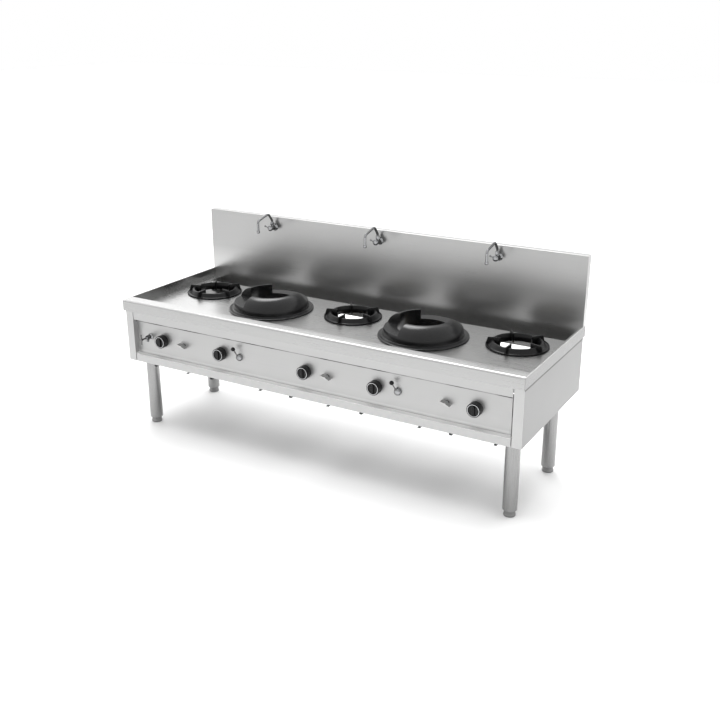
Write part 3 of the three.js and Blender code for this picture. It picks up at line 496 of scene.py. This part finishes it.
# Gives a finished mesh its finish, hides the nodes it stands for, rounds its edges when a bevel
# width is given, and sets it on its body.
def setPiece(name, mesh, material, stands, body, bevelWidth=0):
    mesh.materials.append(material)
    piece = bpy.data.objects.new(name, mesh)
    scene.collection.objects.link(piece)
    if bevelWidth:
        bevel = piece.modifiers.new("edges", "BEVEL")
        bevel.width = bevelWidth
        bevel.segments = edges["bevelSegments"]
        bevel.limit_method = "ANGLE"
        bevel.angle_limit = edges["sharpAngle"]
        bevel.harden_normals = True
    if stands:
        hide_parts(*stands)
    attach(piece, body)


# Makes one piece of several closed surfaces, each given as its points and faces.
def makePiece(name, shapes, material, stands, body=None):
    places, faces, start = [], [], 0
    for points, quads in shapes:
        points = np.reshape(points, (-1, 3))
        places.append(points)
        faces += [tuple(int(v) + start for v in quad) for quad in quads]
        start += len(points)
    mesh = bpy.data.meshes.new(name)
    mesh.from_pydata(np.concatenate(places).tolist(), [], faces)
    work = bmesh.new()
    work.from_mesh(mesh)
    bmesh.ops.remove_doubles(work, verts=work.verts, dist=edges["mergeDistance"])
    bmesh.ops.dissolve_degenerate(work, edges=work.edges, dist=edges["mergeDistance"])
    bmesh.ops.recalc_face_normals(work, faces=work.faces)
    writeSmooth(work, mesh)
    node = stands[0] if stands else None
    setPiece(name, mesh, material, stands, body or nodeBody[node])


# A merged copy of a node's mesh with its flat faces whole and its edges rounded.
def softened(name, bevelWidth, material):
    mesh = nodes[name].data.copy()
    work = bmesh.new()
    work.from_mesh(mesh)
    bmesh.ops.remove_doubles(work, verts=work.verts, dist=edges["mergeDistance"])
    bmesh.ops.dissolve_limit(
        work, angle_limit=edges["flatAngle"], verts=work.verts, edges=work.edges)
    writeSmooth(work, mesh)
    mesh.materials.clear()
    setPiece(name + "_soft", mesh, material, [name], nodeBody[name], bevelWidth)


# The middle of a node's box, and its lowest and highest corner.
def middleOf(name):
    low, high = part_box(name)
    return (low + high) / 2, low, high


# Wok rings: a domed casting with a flange, a bead and two notches. Angles are in degrees.
wokRing = {
    "mouth": 0.142,
    "flange": 0.249,
    "flangeThick": 0.008,
    "flangeBevel": 0.0012,
    "flangeSlope": 0.0034,
    "bead": ((0.2362, 0.0), (0.2345, 0.0034), (0.2262, 0.0036)),
    "beadInner": 0.0050,
    "foot": 0.222,
    "height": 0.103,
    "wall": 0.009,
    "sill": 0.050,
    "notches": ((183, 257), (20, 123)),
    "hollowGrow": 3,
    "edgeRound": 0.0035,
    "edgeShare": 0.98,
    "cutAngle": 0.35,
    "cutMarks": (-1.6, -1.2, -0.9, -0.6, -0.35, -0.15, 0.0, 0.35, 0.6),
    "sides": 300,
    "angleDigits": 6,
    "domeRows": 26,
    "mouthRows": 14,
    "hollowRows": 8,
}


# The notch's depth by angle: none outside it, down to the floor inside, rounded over its edge
# by a quarter circle, drop = r * (1 - sqrt(1 - share * edge^2)).
def notchClamp(angle, floor, grow):
    ring = wokRing
    meanRadius = (ring["mouth"] + ring["foot"]) / 2
    roundAngle = ring["edgeRound"] / meanRadius
    drop = np.zeros_like(angle)
    level = np.full_like(angle, 1.0)
    for start, end in ring["notches"]:
        inside = np.minimum(
            angle - math.radians(start - grow), math.radians(end + grow) - angle)
        edge = np.clip((inside + roundAngle) / roundAngle, 0, 1)
        rounding = 1 - np.sqrt(1 - ring["edgeShare"] * edge ** 2)
        drop = np.maximum(drop, ring["edgeRound"] * rounding)
        cut = np.clip(inside / math.radians(ring["cutAngle"]), 0, 1)
        level = np.where(inside > 0, ring["height"] - (ring["height"] - floor) * cut, level)
    return drop, level


# Even steps round the ring, with more of them at the ends of the notches.
def notchAngles():
    ring = wokRing
    marks = [np.linspace(0, 360, ring["sides"], endpoint=False)]
    fine, grow = np.array(ring["cutMarks"]), ring["hollowGrow"]
    for start, end in ring["notches"]:
        marks += [start + fine, end - fine, start - grow + fine, end + grow - fine]
    return np.unique(np.round(np.radians(np.concatenate(marks)), ring["angleDigits"]))


# Outside and hollow are quarter ellipses, (mouth + a cos t, base + b sin t), joined below by the
# flange and turned round the axis. The notches then press their heights down.
def wokRingShape(centre, base):
    ring = wokRing
    mouth, flange, foot, wall = (ring[key] for key in ("mouth", "flange", "foot", "wall"))
    thick, height, bevel = ring["flangeThick"], ring["height"], ring["flangeBevel"]
    quarter = np.linspace(0, np.pi / 2, ring["domeRows"])
    domeRadius = mouth + (foot - mouth) * np.cos(quarter)
    domeHeight = thick + (height - thick) * np.sin(quarter)
    innerRadius = mouth + (foot - mouth - wall) * np.cos(quarter)
    innerHeight = thick + (height - thick - wall) * np.sin(quarter)
    keep = innerRadius > mouth + wall
    outer = np.concatenate((
        [(foot - wall, 0), (flange - bevel, 0), (flange, bevel),
         (flange - bevel, thick - bevel), (flange - ring["flangeSlope"], thick)],
        [(radius, thick + rise) for radius, rise in ring["bead"]],
        [(foot + bevel, thick + ring["beadInner"])],
        np.column_stack((domeRadius, domeHeight))[1:],
        [(mouth, level) for level in np.linspace(height, 0, ring["mouthRows"])[1:]],
    ))
    rows = np.linspace(0, innerHeight[keep].max(), ring["hollowRows"])
    hollow = np.concatenate((
        [(mouth + wall, level) for level in rows],
        np.column_stack((innerRadius, innerHeight))[keep][::-1],
    ))
    angle = notchAngles()[:, None]
    parts = []
    for profile, floor, grow in (
            (outer, ring["sill"], 0), (hollow, ring["sill"] - wall, ring["hollowGrow"])):
        drop, level = notchClamp(angle, floor, grow)
        heights = profile[None, :, 1]
        heights = np.where(heights > floor, np.maximum(heights - drop, floor), heights)
        heights = np.minimum(heights, np.maximum(level, floor))
        radius = np.broadcast_to(profile[None, :, 0], heights.shape)
        parts.append(np.stack((radius * np.cos(angle), radius * np.sin(angle), heights), -1))
    grid = np.concatenate(parts, axis=1) + np.array((centre[0], centre[1], base))
    return grid, gridFaces(grid.shape[0], grid.shape[1], True, True)


def makeWokRings():
    for number in (2, 4):
        name = f"wok_ring_{number}"
        middle, low, _ = middleOf(name)
        makePiece(f"wokRing{number}", [wokRingShape(middle, low.z)], castBlack, [name])


# Pan trivets: a flanged collar that carries fins. Rows are radius, height and rounding.
trivet = {
    "ring": {"steps": 5, "sides": 160, "closed": True, "rows": (
        (0.126, -0.014, 0.001), (0.126, 0, 0.001), (0.168, 0, 0.002), (0.1665, 0.008, 0.002),
        (0.162, 0.008, 0.002), (0.1595, 0.005, 0.002), (0.1515, 0.005, 0.004),
        (0.134, 0.028, 0.004), (0.124, 0.028, 0.004), (0.116, 0.008, 0.006),
        (0.116, -0.014, 0.001))},
    "finSteps": 6,
    "fin": (
        (0.088, -0.014, 0.003), (0.088, 0.039, 0.006), (0.1555, 0.039, 0.005),
        (0.165, 0.007, 0.002), (0.165, 0.004, 0.001), (0.121, 0.004, 0.001),
        (0.121, -0.014, 0.001)),
    "finTop": 0.039,
    "finWidth": 0.009,
    "finInset": 0.0018,
    "finFlat": 0.3,
    "finShoulder": 0.42,
    "finSwell": 0.01,
    "finTurn": 53,
    "finCount": 5,
}


# A fin: its side view carried across its width, drawn in towards both faces.
def trivetFin(centre, base, angle):
    own = trivet
    side = profileLine(own["fin"], own["finSteps"], closed=True)
    middle = side.mean(0)
    shrink = 1 - own["finInset"] / np.abs(side - middle).max()
    between = (1 + shrink) / 2 + own["finSwell"]
    flat, shoulder = own["finFlat"], own["finShoulder"]
    layers = []
    for across, scale in ((-0.5, shrink), (-shoulder, between), (-flat, 1),
                          (flat, 1), (shoulder, between), (0.5, shrink)):
        outline = middle + (side - middle) * min(scale, 1)
        offset = across * own["finWidth"]
        x = centre[0] + outline[:, 0] * math.cos(angle) - offset * math.sin(angle)
        y = centre[1] + outline[:, 0] * math.sin(angle) + offset * math.cos(angle)
        layers.append(np.column_stack((x, y, base + outline[:, 1])))
    return stacked(layers)


def makeTrivets():
    own = trivet
    for number in (1, 3, 5):
        name = f"trivet_{number}"
        _, low, high = middleOf(name)
        centre = ((low.x + high.x) / 2, (low.y + high.y) / 2)
        base = high.z - own["finTop"]
        shapes = [lathe(own["ring"], (*centre, base))]
        for step in range(own["finCount"]):
            turn = math.radians(own["finTurn"] + step * 360 / own["finCount"])
            shapes.append(trivetFin(centre, base, turn))
        makePiece(f"panTrivet{number}", shapes, trivetBlack, [name])


# Knobs: a ribbed body with a bore behind, a bright band let into its face and a grip bar.
knob = {
    "radius": 0.037,
    "footRound": 0.0008,
    "ribs": (0.0085, 0.0175, 0.0265),
    "ribGap": 0.0022,
    "ribDepth": 0.0012,
    "ribRound": 0.0005,
    "face": (
        (0.037, 0.0345, 0.002), (0.0355, 0.0375, 0.0012), (0.0326, 0.0375, 0.0002),
        (0.0326, 0.0367, 0.0002), (0.0288, 0.0361, 0.0004), (0.0268, 0.033, 0.001),
        (0, 0.033, 0)),
    "bore": 0.0053,
    "boreDepth": 0.030,
    "steps": 4,
    "sides": 96,
    "band": {"steps": 5, "sides": 96, "closed": True, "rows": (
        (0.0290, 0.0360, 0.0001), (0.0324, 0.0366, 0.0001), (0.0324, 0.0383, 0.0008),
        (0.0290, 0.0377, 0.0008))},
    "gripSteps": 5,
    "grip": (
        (-0.0065, -0.025728, 0.003), (0.0065, -0.025728, 0.003), (0.0065, 0.0203, 0.003),
        (0, 0.0268, 0.001), (-0.0065, 0.0203, 0.003)),
    "gripLayers": ((0.032, 1.0), (0.0378, 0.97), (0.0393, 0.93), (0.040, 0.84)),
}


# Half of the knob's section: ribs cut into the side, the face, and the bore from behind.
def knobProfile():
    own = knob
    radius, depth, half = own["radius"], own["ribDepth"], own["ribGap"] / 2
    rows = [(own["bore"], 0, 0), (radius, 0, own["footRound"])]
    for height in own["ribs"]:
        for inward, offset in ((0, -half), (depth, -half / 2), (depth, half / 2), (0, half)):
            rows.append((radius - inward, height + offset, own["ribRound"]))
    body = profileLine([*rows, *own["face"]], own["steps"])
    bore, end = own["bore"], own["boreDepth"]
    return np.concatenate((body, [(0, end), (bore, end), (bore, 0)]))


# The upright grip bar: a pointed outline that narrows towards its top.
def knobGrip(centre):
    grip = profileLine(knob["grip"], knob["gripSteps"], closed=True)
    return stacked([np.column_stack((
        centre[0] + grip[:, 0] * scale,
        np.full(len(grip), centre[1] - height),
        centre[2] + grip[:, 1] * (1 + scale) / 2,
    )) for height, scale in knob["gripLayers"]])


def makeKnobs():
    own = knob
    for number in range(1, 6):
        name = f"knob_{number}"
        middle, _, high = middleOf(name)
        centre = (middle.x, high.y, middle.z)
        body = turned(knobProfile(), own["sides"], centre, front)
        makePiece(f"controlKnob{number}", [body, knobGrip(centre)], plasticBlack, [name])
        band = lathe(own["band"], centre, front)
        makePiece(f"knobBand{number}", [band], bandChrome, [], nodeBody[name])


# Lever valves: a low dome, a thin rod and a black ball.
leverValve = {
    "hub": 0.0185,
    "hubThick": 0.010,
    "dome": {"steps": 6, "sides": 64, "rows": (
        (0, 0, 0), (0.0185, 0, 0.0006), (0.0185, 0.004, 0.003), (0.015725, 0.0075, 0.004),
        (0.00925, 0.0097, 0.003), (0, 0.010, 0))},
    "rod": {"radii": (0.003, 0.003), "steps": 6, "sides": 20},
    "ball": {"radius": 0.012, "rings": 20, "sides": 40},
    "reach": (-0.021, -0.019, 0.053),
}


def makeLeverValves():
    own = leverValve
    for number in (2, 4):
        name = f"valve_lever_{number}"
        body = nodeBody[name]
        _, low, high = middleOf(name)
        hub = np.array((high.x - own["hub"], high.y, low.z + own["hub"]))
        root = hub + (0, -own["hubThick"] / 2, 0)
        tip = root + own["reach"]
        dome = lathe(own["dome"], hub, front)
        stem = rod(own["rod"], root, tip)
        ball = globe(own["ball"], tip)
        makePiece(f"leverHub{number}", [dome], chrome, [name])
        makePiece(f"leverRod{number}", [stem], steelBar, [], body)
        makePiece(f"leverBall{number}", [ball], plasticBlack, [], body)


makeWokRings()
makeTrivets()
makeKnobs()
makeLeverValves()
print("wok range: rings, trivets, knobs, levers")


# Taps on the splashback: a body with a riser, a swivel spout and a lever on a round hub.
tap = {
    "tail": 0.0155,
    "rose": 0.023,
    "body": {"steps": 5, "sides": 64, "rows": (
        (0, -0.0155, 0), (0.009, -0.0155, 0.0005), (0.009, 0.0003, 0.0002),
        (0.023, 0.0003, 0.0005), (0.023, 0.00225, 0.002), (0.017, 0.005, 0.003),
        (0.013, 0.010, 0.004), (0.013, 0.015, 0.0005), (0.014, 0.0155, 0.0005),
        (0.014, 0.042, 0.0015), (0.0115, 0.046, 0.0015), (0, 0.046, 0))},
    "length": 0.046,
    "riser": {"sides": 40, "rows": ((0, 0), (0.010, 0), (0.010, 0.018), (0, 0.018))},
    "riserSetback": 0.027,
    "riserTop": 0.018,
    "gap": 0.0003,
    "nut": 0.013,
    "nutHeight": 0.014,
    "nutSides": 6,
    "nutCut": 0.07,
    "nutCutHeight": 0.6,
    "collar": {"sides": 40, "rows": ((0, 0.013), (0.0104, 0.013), (0.0078, 0.019), (0, 0.019))},
    "neck": 0.007,
    "neckSides": 28,
    "neckFoot": 0.004,
    "neckRise": 0.026,
    "shoulder": (-0.038, 0.07568),
    "far": (-0.148, 0.050),
    "drop": 0.064,
    "bend": 0.018,
    "bendSteps": 14,
    "nozzle": {"steps": 5, "sides": 40, "rows": (
        (0, -0.010, 0), (0.008, -0.010, 0.0008), (0.0095, -0.007, 0.001),
        (0.0095, 0.004, 0.0015), (0.007, 0.007, 0.0004), (0, 0.007, 0))},
    "hub": {"steps": 6, "sides": 56, "rows": (
        (0, 0, 0), (0.016, 0, 0.0008), (0.017, 0.002, 0.001), (0.017, 0.009, 0.003),
        (0.012, 0.013, 0.004), (0, 0.014, 0))},
    "hubLength": 0.014,
    "reach": (-0.0242, -0.0154, 0.0154),
    "stick": {"radii": (0.0042, 0.0032), "steps": 8, "sides": 20},
    "tip": {"radius": 0.0055, "rings": 18, "sides": 36},
}


# A six-sided prism whose ends are drawn in, as on a hexagon nut.
def nutShape(centre, radius, height):
    cut = tap["nutCut"]
    rise = cut * radius * tap["nutCutHeight"]
    angle = np.linspace(0, 2 * np.pi, tap["nutSides"], endpoint=False)
    spoke = np.column_stack((np.cos(angle), np.sin(angle), np.zeros_like(angle)))
    layers = (0, 1 - cut), (rise, 1), (height - rise, 1), (height, 1 - cut)
    return stacked([centre + spoke * radius * scale + (0, 0, level) for level, scale in layers])


# The body stands out from the wall, and the riser and the spout stand up on it.
def tapShapes(seat):
    own = tap
    riserFoot = seat + front * own["riserSetback"]
    top = riserFoot + (0, 0, own["riserTop"])
    body = [lathe(own["body"], seat, front), lathe(own["riser"], riserFoot)]

    nutFoot = riserFoot + (0, 0, own["riserTop"] + own["gap"])
    far = top + (0, *own["far"])
    end = far - (0, 0, own["drop"])
    path = roundCorners([
        nutFoot + (0, 0, own["neckFoot"]), nutFoot + (0, 0, own["neckRise"]),
        top + (0, *own["shoulder"]), far, end,
    ], own["bend"], own["bendSteps"], closed=False)
    spout = [
        nutShape(nutFoot, own["nut"], own["nutHeight"]),
        lathe(own["collar"], nutFoot),
        tube(path, own["neck"], own["neckSides"]),
        lathe(own["nozzle"], end),
    ]

    hub = seat + front * (own["length"] + own["gap"])
    root = hub + front * own["hubLength"] / 2
    tip = root + own["reach"]
    lever = [
        lathe(own["hub"], hub, front), rod(own["stick"], root, tip), globe(own["tip"], tip)]
    return body, spout, lever


def makeTaps():
    for number in range(1, 4):
        middle, low, high = middleOf(f"tap_{number}")
        seat = np.array((middle.x, high.y - tap["tail"], low.z + tap["rose"]))
        body, spout, lever = tapShapes(seat)
        makePiece(f"tapBody{number}", body, chrome, [f"tap_{number}"])
        makePiece(f"tapSpout{number}", spout, chrome, [f"spout_{number}"])
        makePiece(f"tapLever{number}", lever, chrome, [f"tap_lever_{number}"])


# Legs: a tube with a plug below and a square plate on top. Feet: a grooved cup on a screw.
leg = {
    "radius": 0.038,
    "wall": 0.0015,
    "bottom": 0.035,
    "bottomRound": 0.0022,
    "plug": 0.060,
    "plugRound": 0.0005,
    "bore": 0.0084,
    "cornerRound": 0.0001,
    "overlap": 0.001,
    "steps": 5,
    "sides": 96,
    "plate": 0.049,
    "plateThick": 0.005,
    "plateRound": 0.006,
    "plateSteps": 6,
}
footScrew = {"steps": 4, "sides": 80, "rows": (
    (0, 0, 0), (0.030, 0, 0.0008), (0.0315, 0.002, 0.0008), (0.0315, 0.011, 0.0015),
    (0.0292, 0.0135, 0.0015), (0.0292, 0.0215, 0.0003), (0.028, 0.0225, 0.0003),
    (0.028, 0.0240, 0.0003), (0.0292, 0.025, 0.0003), (0.0292, 0.0347, 0.0006),
    (0.008, 0.0347, 0.0003), (0.008, 0.105, 0.001), (0, 0.105, 0))}


def makeLegs():
    own = leg
    radius, bore, fine = own["radius"], own["bore"], own["cornerRound"]
    inner = radius - own["wall"]
    for corner in ("front_left", "front_right", "rear_left", "rear_right"):
        label = corner.replace("_", " ").title().replace(" ", "")
        middle, _, high = middleOf(f"leg_{corner}")
        under = high.z - own["plateThick"]
        top = under + own["overlap"]
        wall = profileLine([
            (bore, own["bottom"], fine), (radius, own["bottom"], own["bottomRound"]),
            (radius, top, fine), (inner, top, fine),
            (inner, own["plug"], own["plugRound"]), (bore, own["plug"], fine),
        ], own["steps"], closed=True)
        side = own["plate"]
        square = roundCorners([(-side, -side), (side, -side), (side, side), (-side, side)],
                              own["plateRound"], own["plateSteps"])
        square = square + (middle.x, middle.y)
        plate = stacked([np.column_stack((square, np.full(len(square), level)))
                         for level in (under, own["plateThick"] + under)])
        column = turned(wall, own["sides"], (middle.x, middle.y, 0), closed=True)
        makePiece(f"Leg{label}Tube", [column, plate], steelTube, [f"leg_{corner}"])

        middle, low, _ = middleOf(f"foot_{corner}")
        screw = lathe(footScrew, (middle.x, middle.y, low.z))
        makePiece(f"Foot{label}Screw", [screw], steelFoot, [f"foot_{corner}"])


# Pilot cocks: a flat key that stands square to the panel, on a round hub.
pilot = {
    "span": 0.056,
    "thick": 0.006,
    "layers": ((0, 0.96), (0.0012, 1.0), (0.0298, 1.0), (0.031, 0.96)),
    "endSteps": 7,
    "hub": 0.0075,
    "stem": {"steps": 6, "sides": 40, "rows": (
        (0, 0, 0), (0.0075, 0, 0.0005), (0.0075, 0.032, 0.0022), (0, 0.032, 0))},
    "tilt": math.radians(-21),
}


# The key's section: two wings that thin towards round ends, on both sides of the hub, turned
# by the tilt.
def keySection():
    own = pilot
    half, root, tip = own["span"] / 2, own["thick"] / 2, own["thick"] / 3
    turn = np.linspace(-np.pi / 2, np.pi / 2, own["endSteps"])
    right = np.column_stack((half - tip + tip * np.cos(turn), tip * np.sin(turn)))
    crown = np.array([(own["hub"], root)])
    x, z = np.concatenate((right, crown, crown * (-1, 1), -right, -crown, crown * (1, -1))).T
    c, s = math.cos(own["tilt"]), math.sin(own["tilt"])
    return np.column_stack((x * c - z * s, x * s + z * c))


def makePilots():
    section = keySection()
    for number in (1, 3, 5):
        name = f"pilot_lever_{number}"
        middle, _, high = middleOf(name)
        back = np.array((middle.x, high.y, middle.z))
        key = stacked([np.column_stack((
            back[0] + section[:, 0] * scale,
            np.full(len(section), back[1] - level),
            back[2] + section[:, 1] * scale,
        )) for level, scale in pilot["layers"]])
        hub = lathe(pilot["stem"], back, front)
        makePiece(f"pilotKey{number}", [key, hub], steelKey, [name])


# Rinse cock: a turned body with a short beak, and a T-handle on a stem.
rinse = {
    "length": 0.044,
    "body": {"steps": 5, "sides": 48, "rows": (
        (0, -0.020, 0), (0.009, -0.020, 0.0005), (0.009, 0.0003, 0.0002),
        (0.018, 0.0003, 0.0004), (0.018, 0.0025, 0.001), (0.015, 0.0045, 0.001),
        (0.010, 0.007, 0.003), (0.012, 0.01584, 0.002), (0.013, 0.0176, 0.001),
        (0.013, 0.033, 0.002), (0.009, 0.0437, 0.001), (0, 0.0437, 0))},
    "gap": 0.0003,
    "beak": {"radii": (0.007, 0.007), "steps": 6, "sides": 24},
    "beakPlace": 0.45,
    "beakReach": (0, -0.008, -0.026),
    "barRadius": 0.004,
    "bar": {"steps": 6, "sides": 28, "rows": (
        (0, -0.031, 0), (0.004, -0.031, 0.0015), (0.004, 0.031, 0.0015), (0, 0.031, 0))},
    "stem": {"radii": (0.0045, 0.0045), "steps": 4, "sides": 24},
    "boss": {"steps": 5, "sides": 32, "rows": (
        (0, 0.0298, 0), (0.0085, 0.0298, 0.001), (0.0085, 0.0388, 0.003), (0, 0.0406, 0))},
}


def makeRinseCock():
    own = rinse
    middle, low, high = middleOf("rinse_handle")
    _, bodyLow, _ = middleOf("rinse_cock")
    wall = np.array((middle.x, bodyLow.y + own["length"] - own["gap"], middle.z))
    elbow = wall + front * own["length"] * own["beakPlace"]
    mouth = elbow + own["beakReach"]
    makePiece("rinseBody", [
        lathe(own["body"], wall, front), rod(own["beak"], elbow, mouth),
    ], chrome, ["rinse_cock"])
    back = np.array((middle.x, high.y, middle.z))
    cross = np.array((middle.x, low.y + own["barRadius"], middle.z))
    makePiece("rinseHandle", [
        lathe(own["bar"], cross), rod(own["stem"], back, cross), lathe(own["boss"], back, front),
    ], steelBar, ["rinse_handle"])


makeTaps()
makeLegs()
makePilots()
makeRinseCock()
print("wok range: taps, legs, pilots, rinse cock")


# Sheet metal and inner pieces: copies of the nodes that no piece above stands for
sheetMaterial = {
    "worktop": steelLong,
    "rear_channel": steelLong,
    "splashback": steelWall,
    "front_panel": steelFront,
    "side_panel_left": steelSide,
    "side_panel_right": steelSide,
}
madeNames = ("wok_ring", "trivet", "knob", "valve_lever", "tap", "spout", "leg_", "foot_",
             "pilot_lever", "rinse_")
for name in nodes:
    if name.startswith(madeNames):
        continue
    if name in sheetMaterial:
        softened(name, edges["sheetRound"], sheetMaterial[name])
    elif name.startswith("drip_tray"):
        softened(name, edges["solidRound"], steelDeep)
    else:
        softened(name, edges["solidRound"], slotMaterial[nodeSlot[name]])
print("wok range: softened copies")


# Floor, backdrop and light. A ramp is (from, to); the sky's levels are for mirrored rays only.
studio = {
    "floorSize": 60.0,
    "floorColor": (0.82, 0.82, 0.82, 1),
    "floorGlow": 0.18,
    "farGlow": 0.7,
    "farRamp": (2.2, 7.0),
    "skyBack": 1.6,
    "skyFront": 1.25,
    "skyTop": 1.4,
    "skyLow": 0.8,
    "skyLeft": 1.1,
    "skyRight": 0.84,
    "skySoft": 0.52,
    "depthRamp": (-0.55, 0.55),
    "lowRamp": (0.08, 0.26),
    "topRamp": (0.55, 0.95),
    "sideRamp": (-0.8, 0.1),
    "boxMiddle": (-0.38, 0.38, 0.0),
    "boxReach": (0.22, 0.32, 1e6),
    "boxRamp": (1.0, 0.7),
    "boxLevel": 9.0,
    "keyPower": 420.0,
    "keySize": 6.0,
    "keyPlace": (-0.1, 0.75, 4.4),
    "keyAim": (0, 0, 0.6),
}


# One for rays from the camera, from a mirror or through glass, and none for soft light.
def seenDirectly(tree):
    path = addNode(tree, "ShaderNodeLightPath")
    either = mathNode(
        tree, "MAXIMUM", path.outputs["Is Camera Ray"], path.outputs["Is Glossy Ray"])
    return mathNode(tree, "MAXIMUM", either, path.outputs["Is Transmission Ray"])


# The floor turns white with the distance from the range, where its shadow ends.
def makeFloor():
    half = studio["floorSize"] / 2
    mesh = bpy.data.meshes.new("floor")
    corners = [(-half, -half, 0), (half, -half, 0), (half, half, 0), (-half, half, 0)]
    mesh.from_pydata(corners, [], [(0, 1, 2, 3)])
    mat = newMaterial("paleFloor")
    tree = mat.node_tree
    diffuse = addNode(tree, "ShaderNodeBsdfDiffuse")
    feed(tree, studio["floorColor"], diffuse.inputs["Color"])
    away = addNode(tree, "ShaderNodeVectorMath", operation="LENGTH")
    feed(tree, objectPoint(tree), away.inputs[0])
    far = rampNode(tree, away.outputs["Value"], *studio["farRamp"],
                   studio["floorGlow"], studio["farGlow"])
    glow = addNode(tree, "ShaderNodeEmission")
    feed(tree, mathNode(tree, "MULTIPLY", seenDirectly(tree), far), glow.inputs["Strength"])
    both = addNode(tree, "ShaderNodeAddShader")
    feed(tree, diffuse.outputs[0], both.inputs[0])
    feed(tree, glow.outputs[0], both.inputs[1])
    out = addNode(tree, "ShaderNodeOutputMaterial")
    feed(tree, both.outputs[0], out.inputs["Surface"])
    mesh.materials.append(mat)
    floor = bpy.data.objects.new("floor", mesh)
    scene.collection.objects.link(floor)


# Polished faces mirror a bright studio behind, a dimmer one in front and a bright patch high up
# at the back left. Soft light comes from an even sky, and the camera sees plain white.
def makeWorld():
    world = bpy.data.worlds.new("studio")
    world.use_nodes = True
    tree = world.node_tree
    tree.nodes.clear()
    own = studio
    direction = addNode(tree, "ShaderNodeTexCoord").outputs["Generated"]
    split = addNode(tree, "ShaderNodeSeparateXYZ")
    feed(tree, direction, split.inputs[0])
    x, y, z = split.outputs
    depth = rampNode(tree, y, *own["depthRamp"], own["skyFront"], own["skyBack"])
    low = rampNode(tree, z, *own["lowRamp"])
    high = rampNode(tree, z, *own["topRamp"])
    lifted = mathNode(tree, "MINIMUM", depth, mixNode(tree, low, own["skyLow"], own["skyBack"]))
    side = rampNode(tree, x, *own["sideRamp"], own["skyLeft"], own["skyRight"])
    mirrored = mathNode(tree, "MULTIPLY", mixNode(tree, high, lifted, own["skyTop"]), side)
    fromBox = addNode(tree, "ShaderNodeVectorMath", operation="SUBTRACT")
    feed(tree, direction, fromBox.inputs[0])
    feed(tree, own["boxMiddle"], fromBox.inputs[1])
    shares = addNode(tree, "ShaderNodeVectorMath", operation="DIVIDE")
    feed(tree, fromBox.outputs["Vector"], shares.inputs[0])
    feed(tree, own["boxReach"], shares.inputs[1])
    away = addNode(tree, "ShaderNodeVectorMath", operation="LENGTH")
    feed(tree, shares.outputs["Vector"], away.inputs[0])
    inBox = rampNode(tree, away.outputs["Value"], *own["boxRamp"])
    mirrored = mixNode(tree, inBox, mirrored, own["boxLevel"])
    path = addNode(tree, "ShaderNodeLightPath")
    level = mixNode(tree, path.outputs["Is Diffuse Ray"], mirrored, own["skySoft"])
    level = mixNode(tree, path.outputs["Is Camera Ray"], level, 1.0)
    background = addNode(tree, "ShaderNodeBackground")
    feedAll(tree, background, {"Color": (1, 1, 1, 1), "Strength": level})
    out = addNode(tree, "ShaderNodeOutputWorld")
    feed(tree, background.outputs[0], out.inputs["Surface"])
    scene.world = world


def makeKeyLight():
    data = bpy.data.lights.new("keyLight", "AREA")
    data.shape = "DISK"
    data.size = studio["keySize"]
    data.energy = studio["keyPower"]
    lamp = bpy.data.objects.new("keyLight", data)
    lamp.location = studio["keyPlace"]
    aim = Vector(studio["keyAim"]) - lamp.location
    lamp.rotation_euler = aim.to_track_quat("-Z", "Y").to_euler()
    lamp.visible_glossy = False
    scene.collection.objects.link(lamp)


makeFloor()
makeWorld()
makeKeyLight()
print("wok range: stage and light")
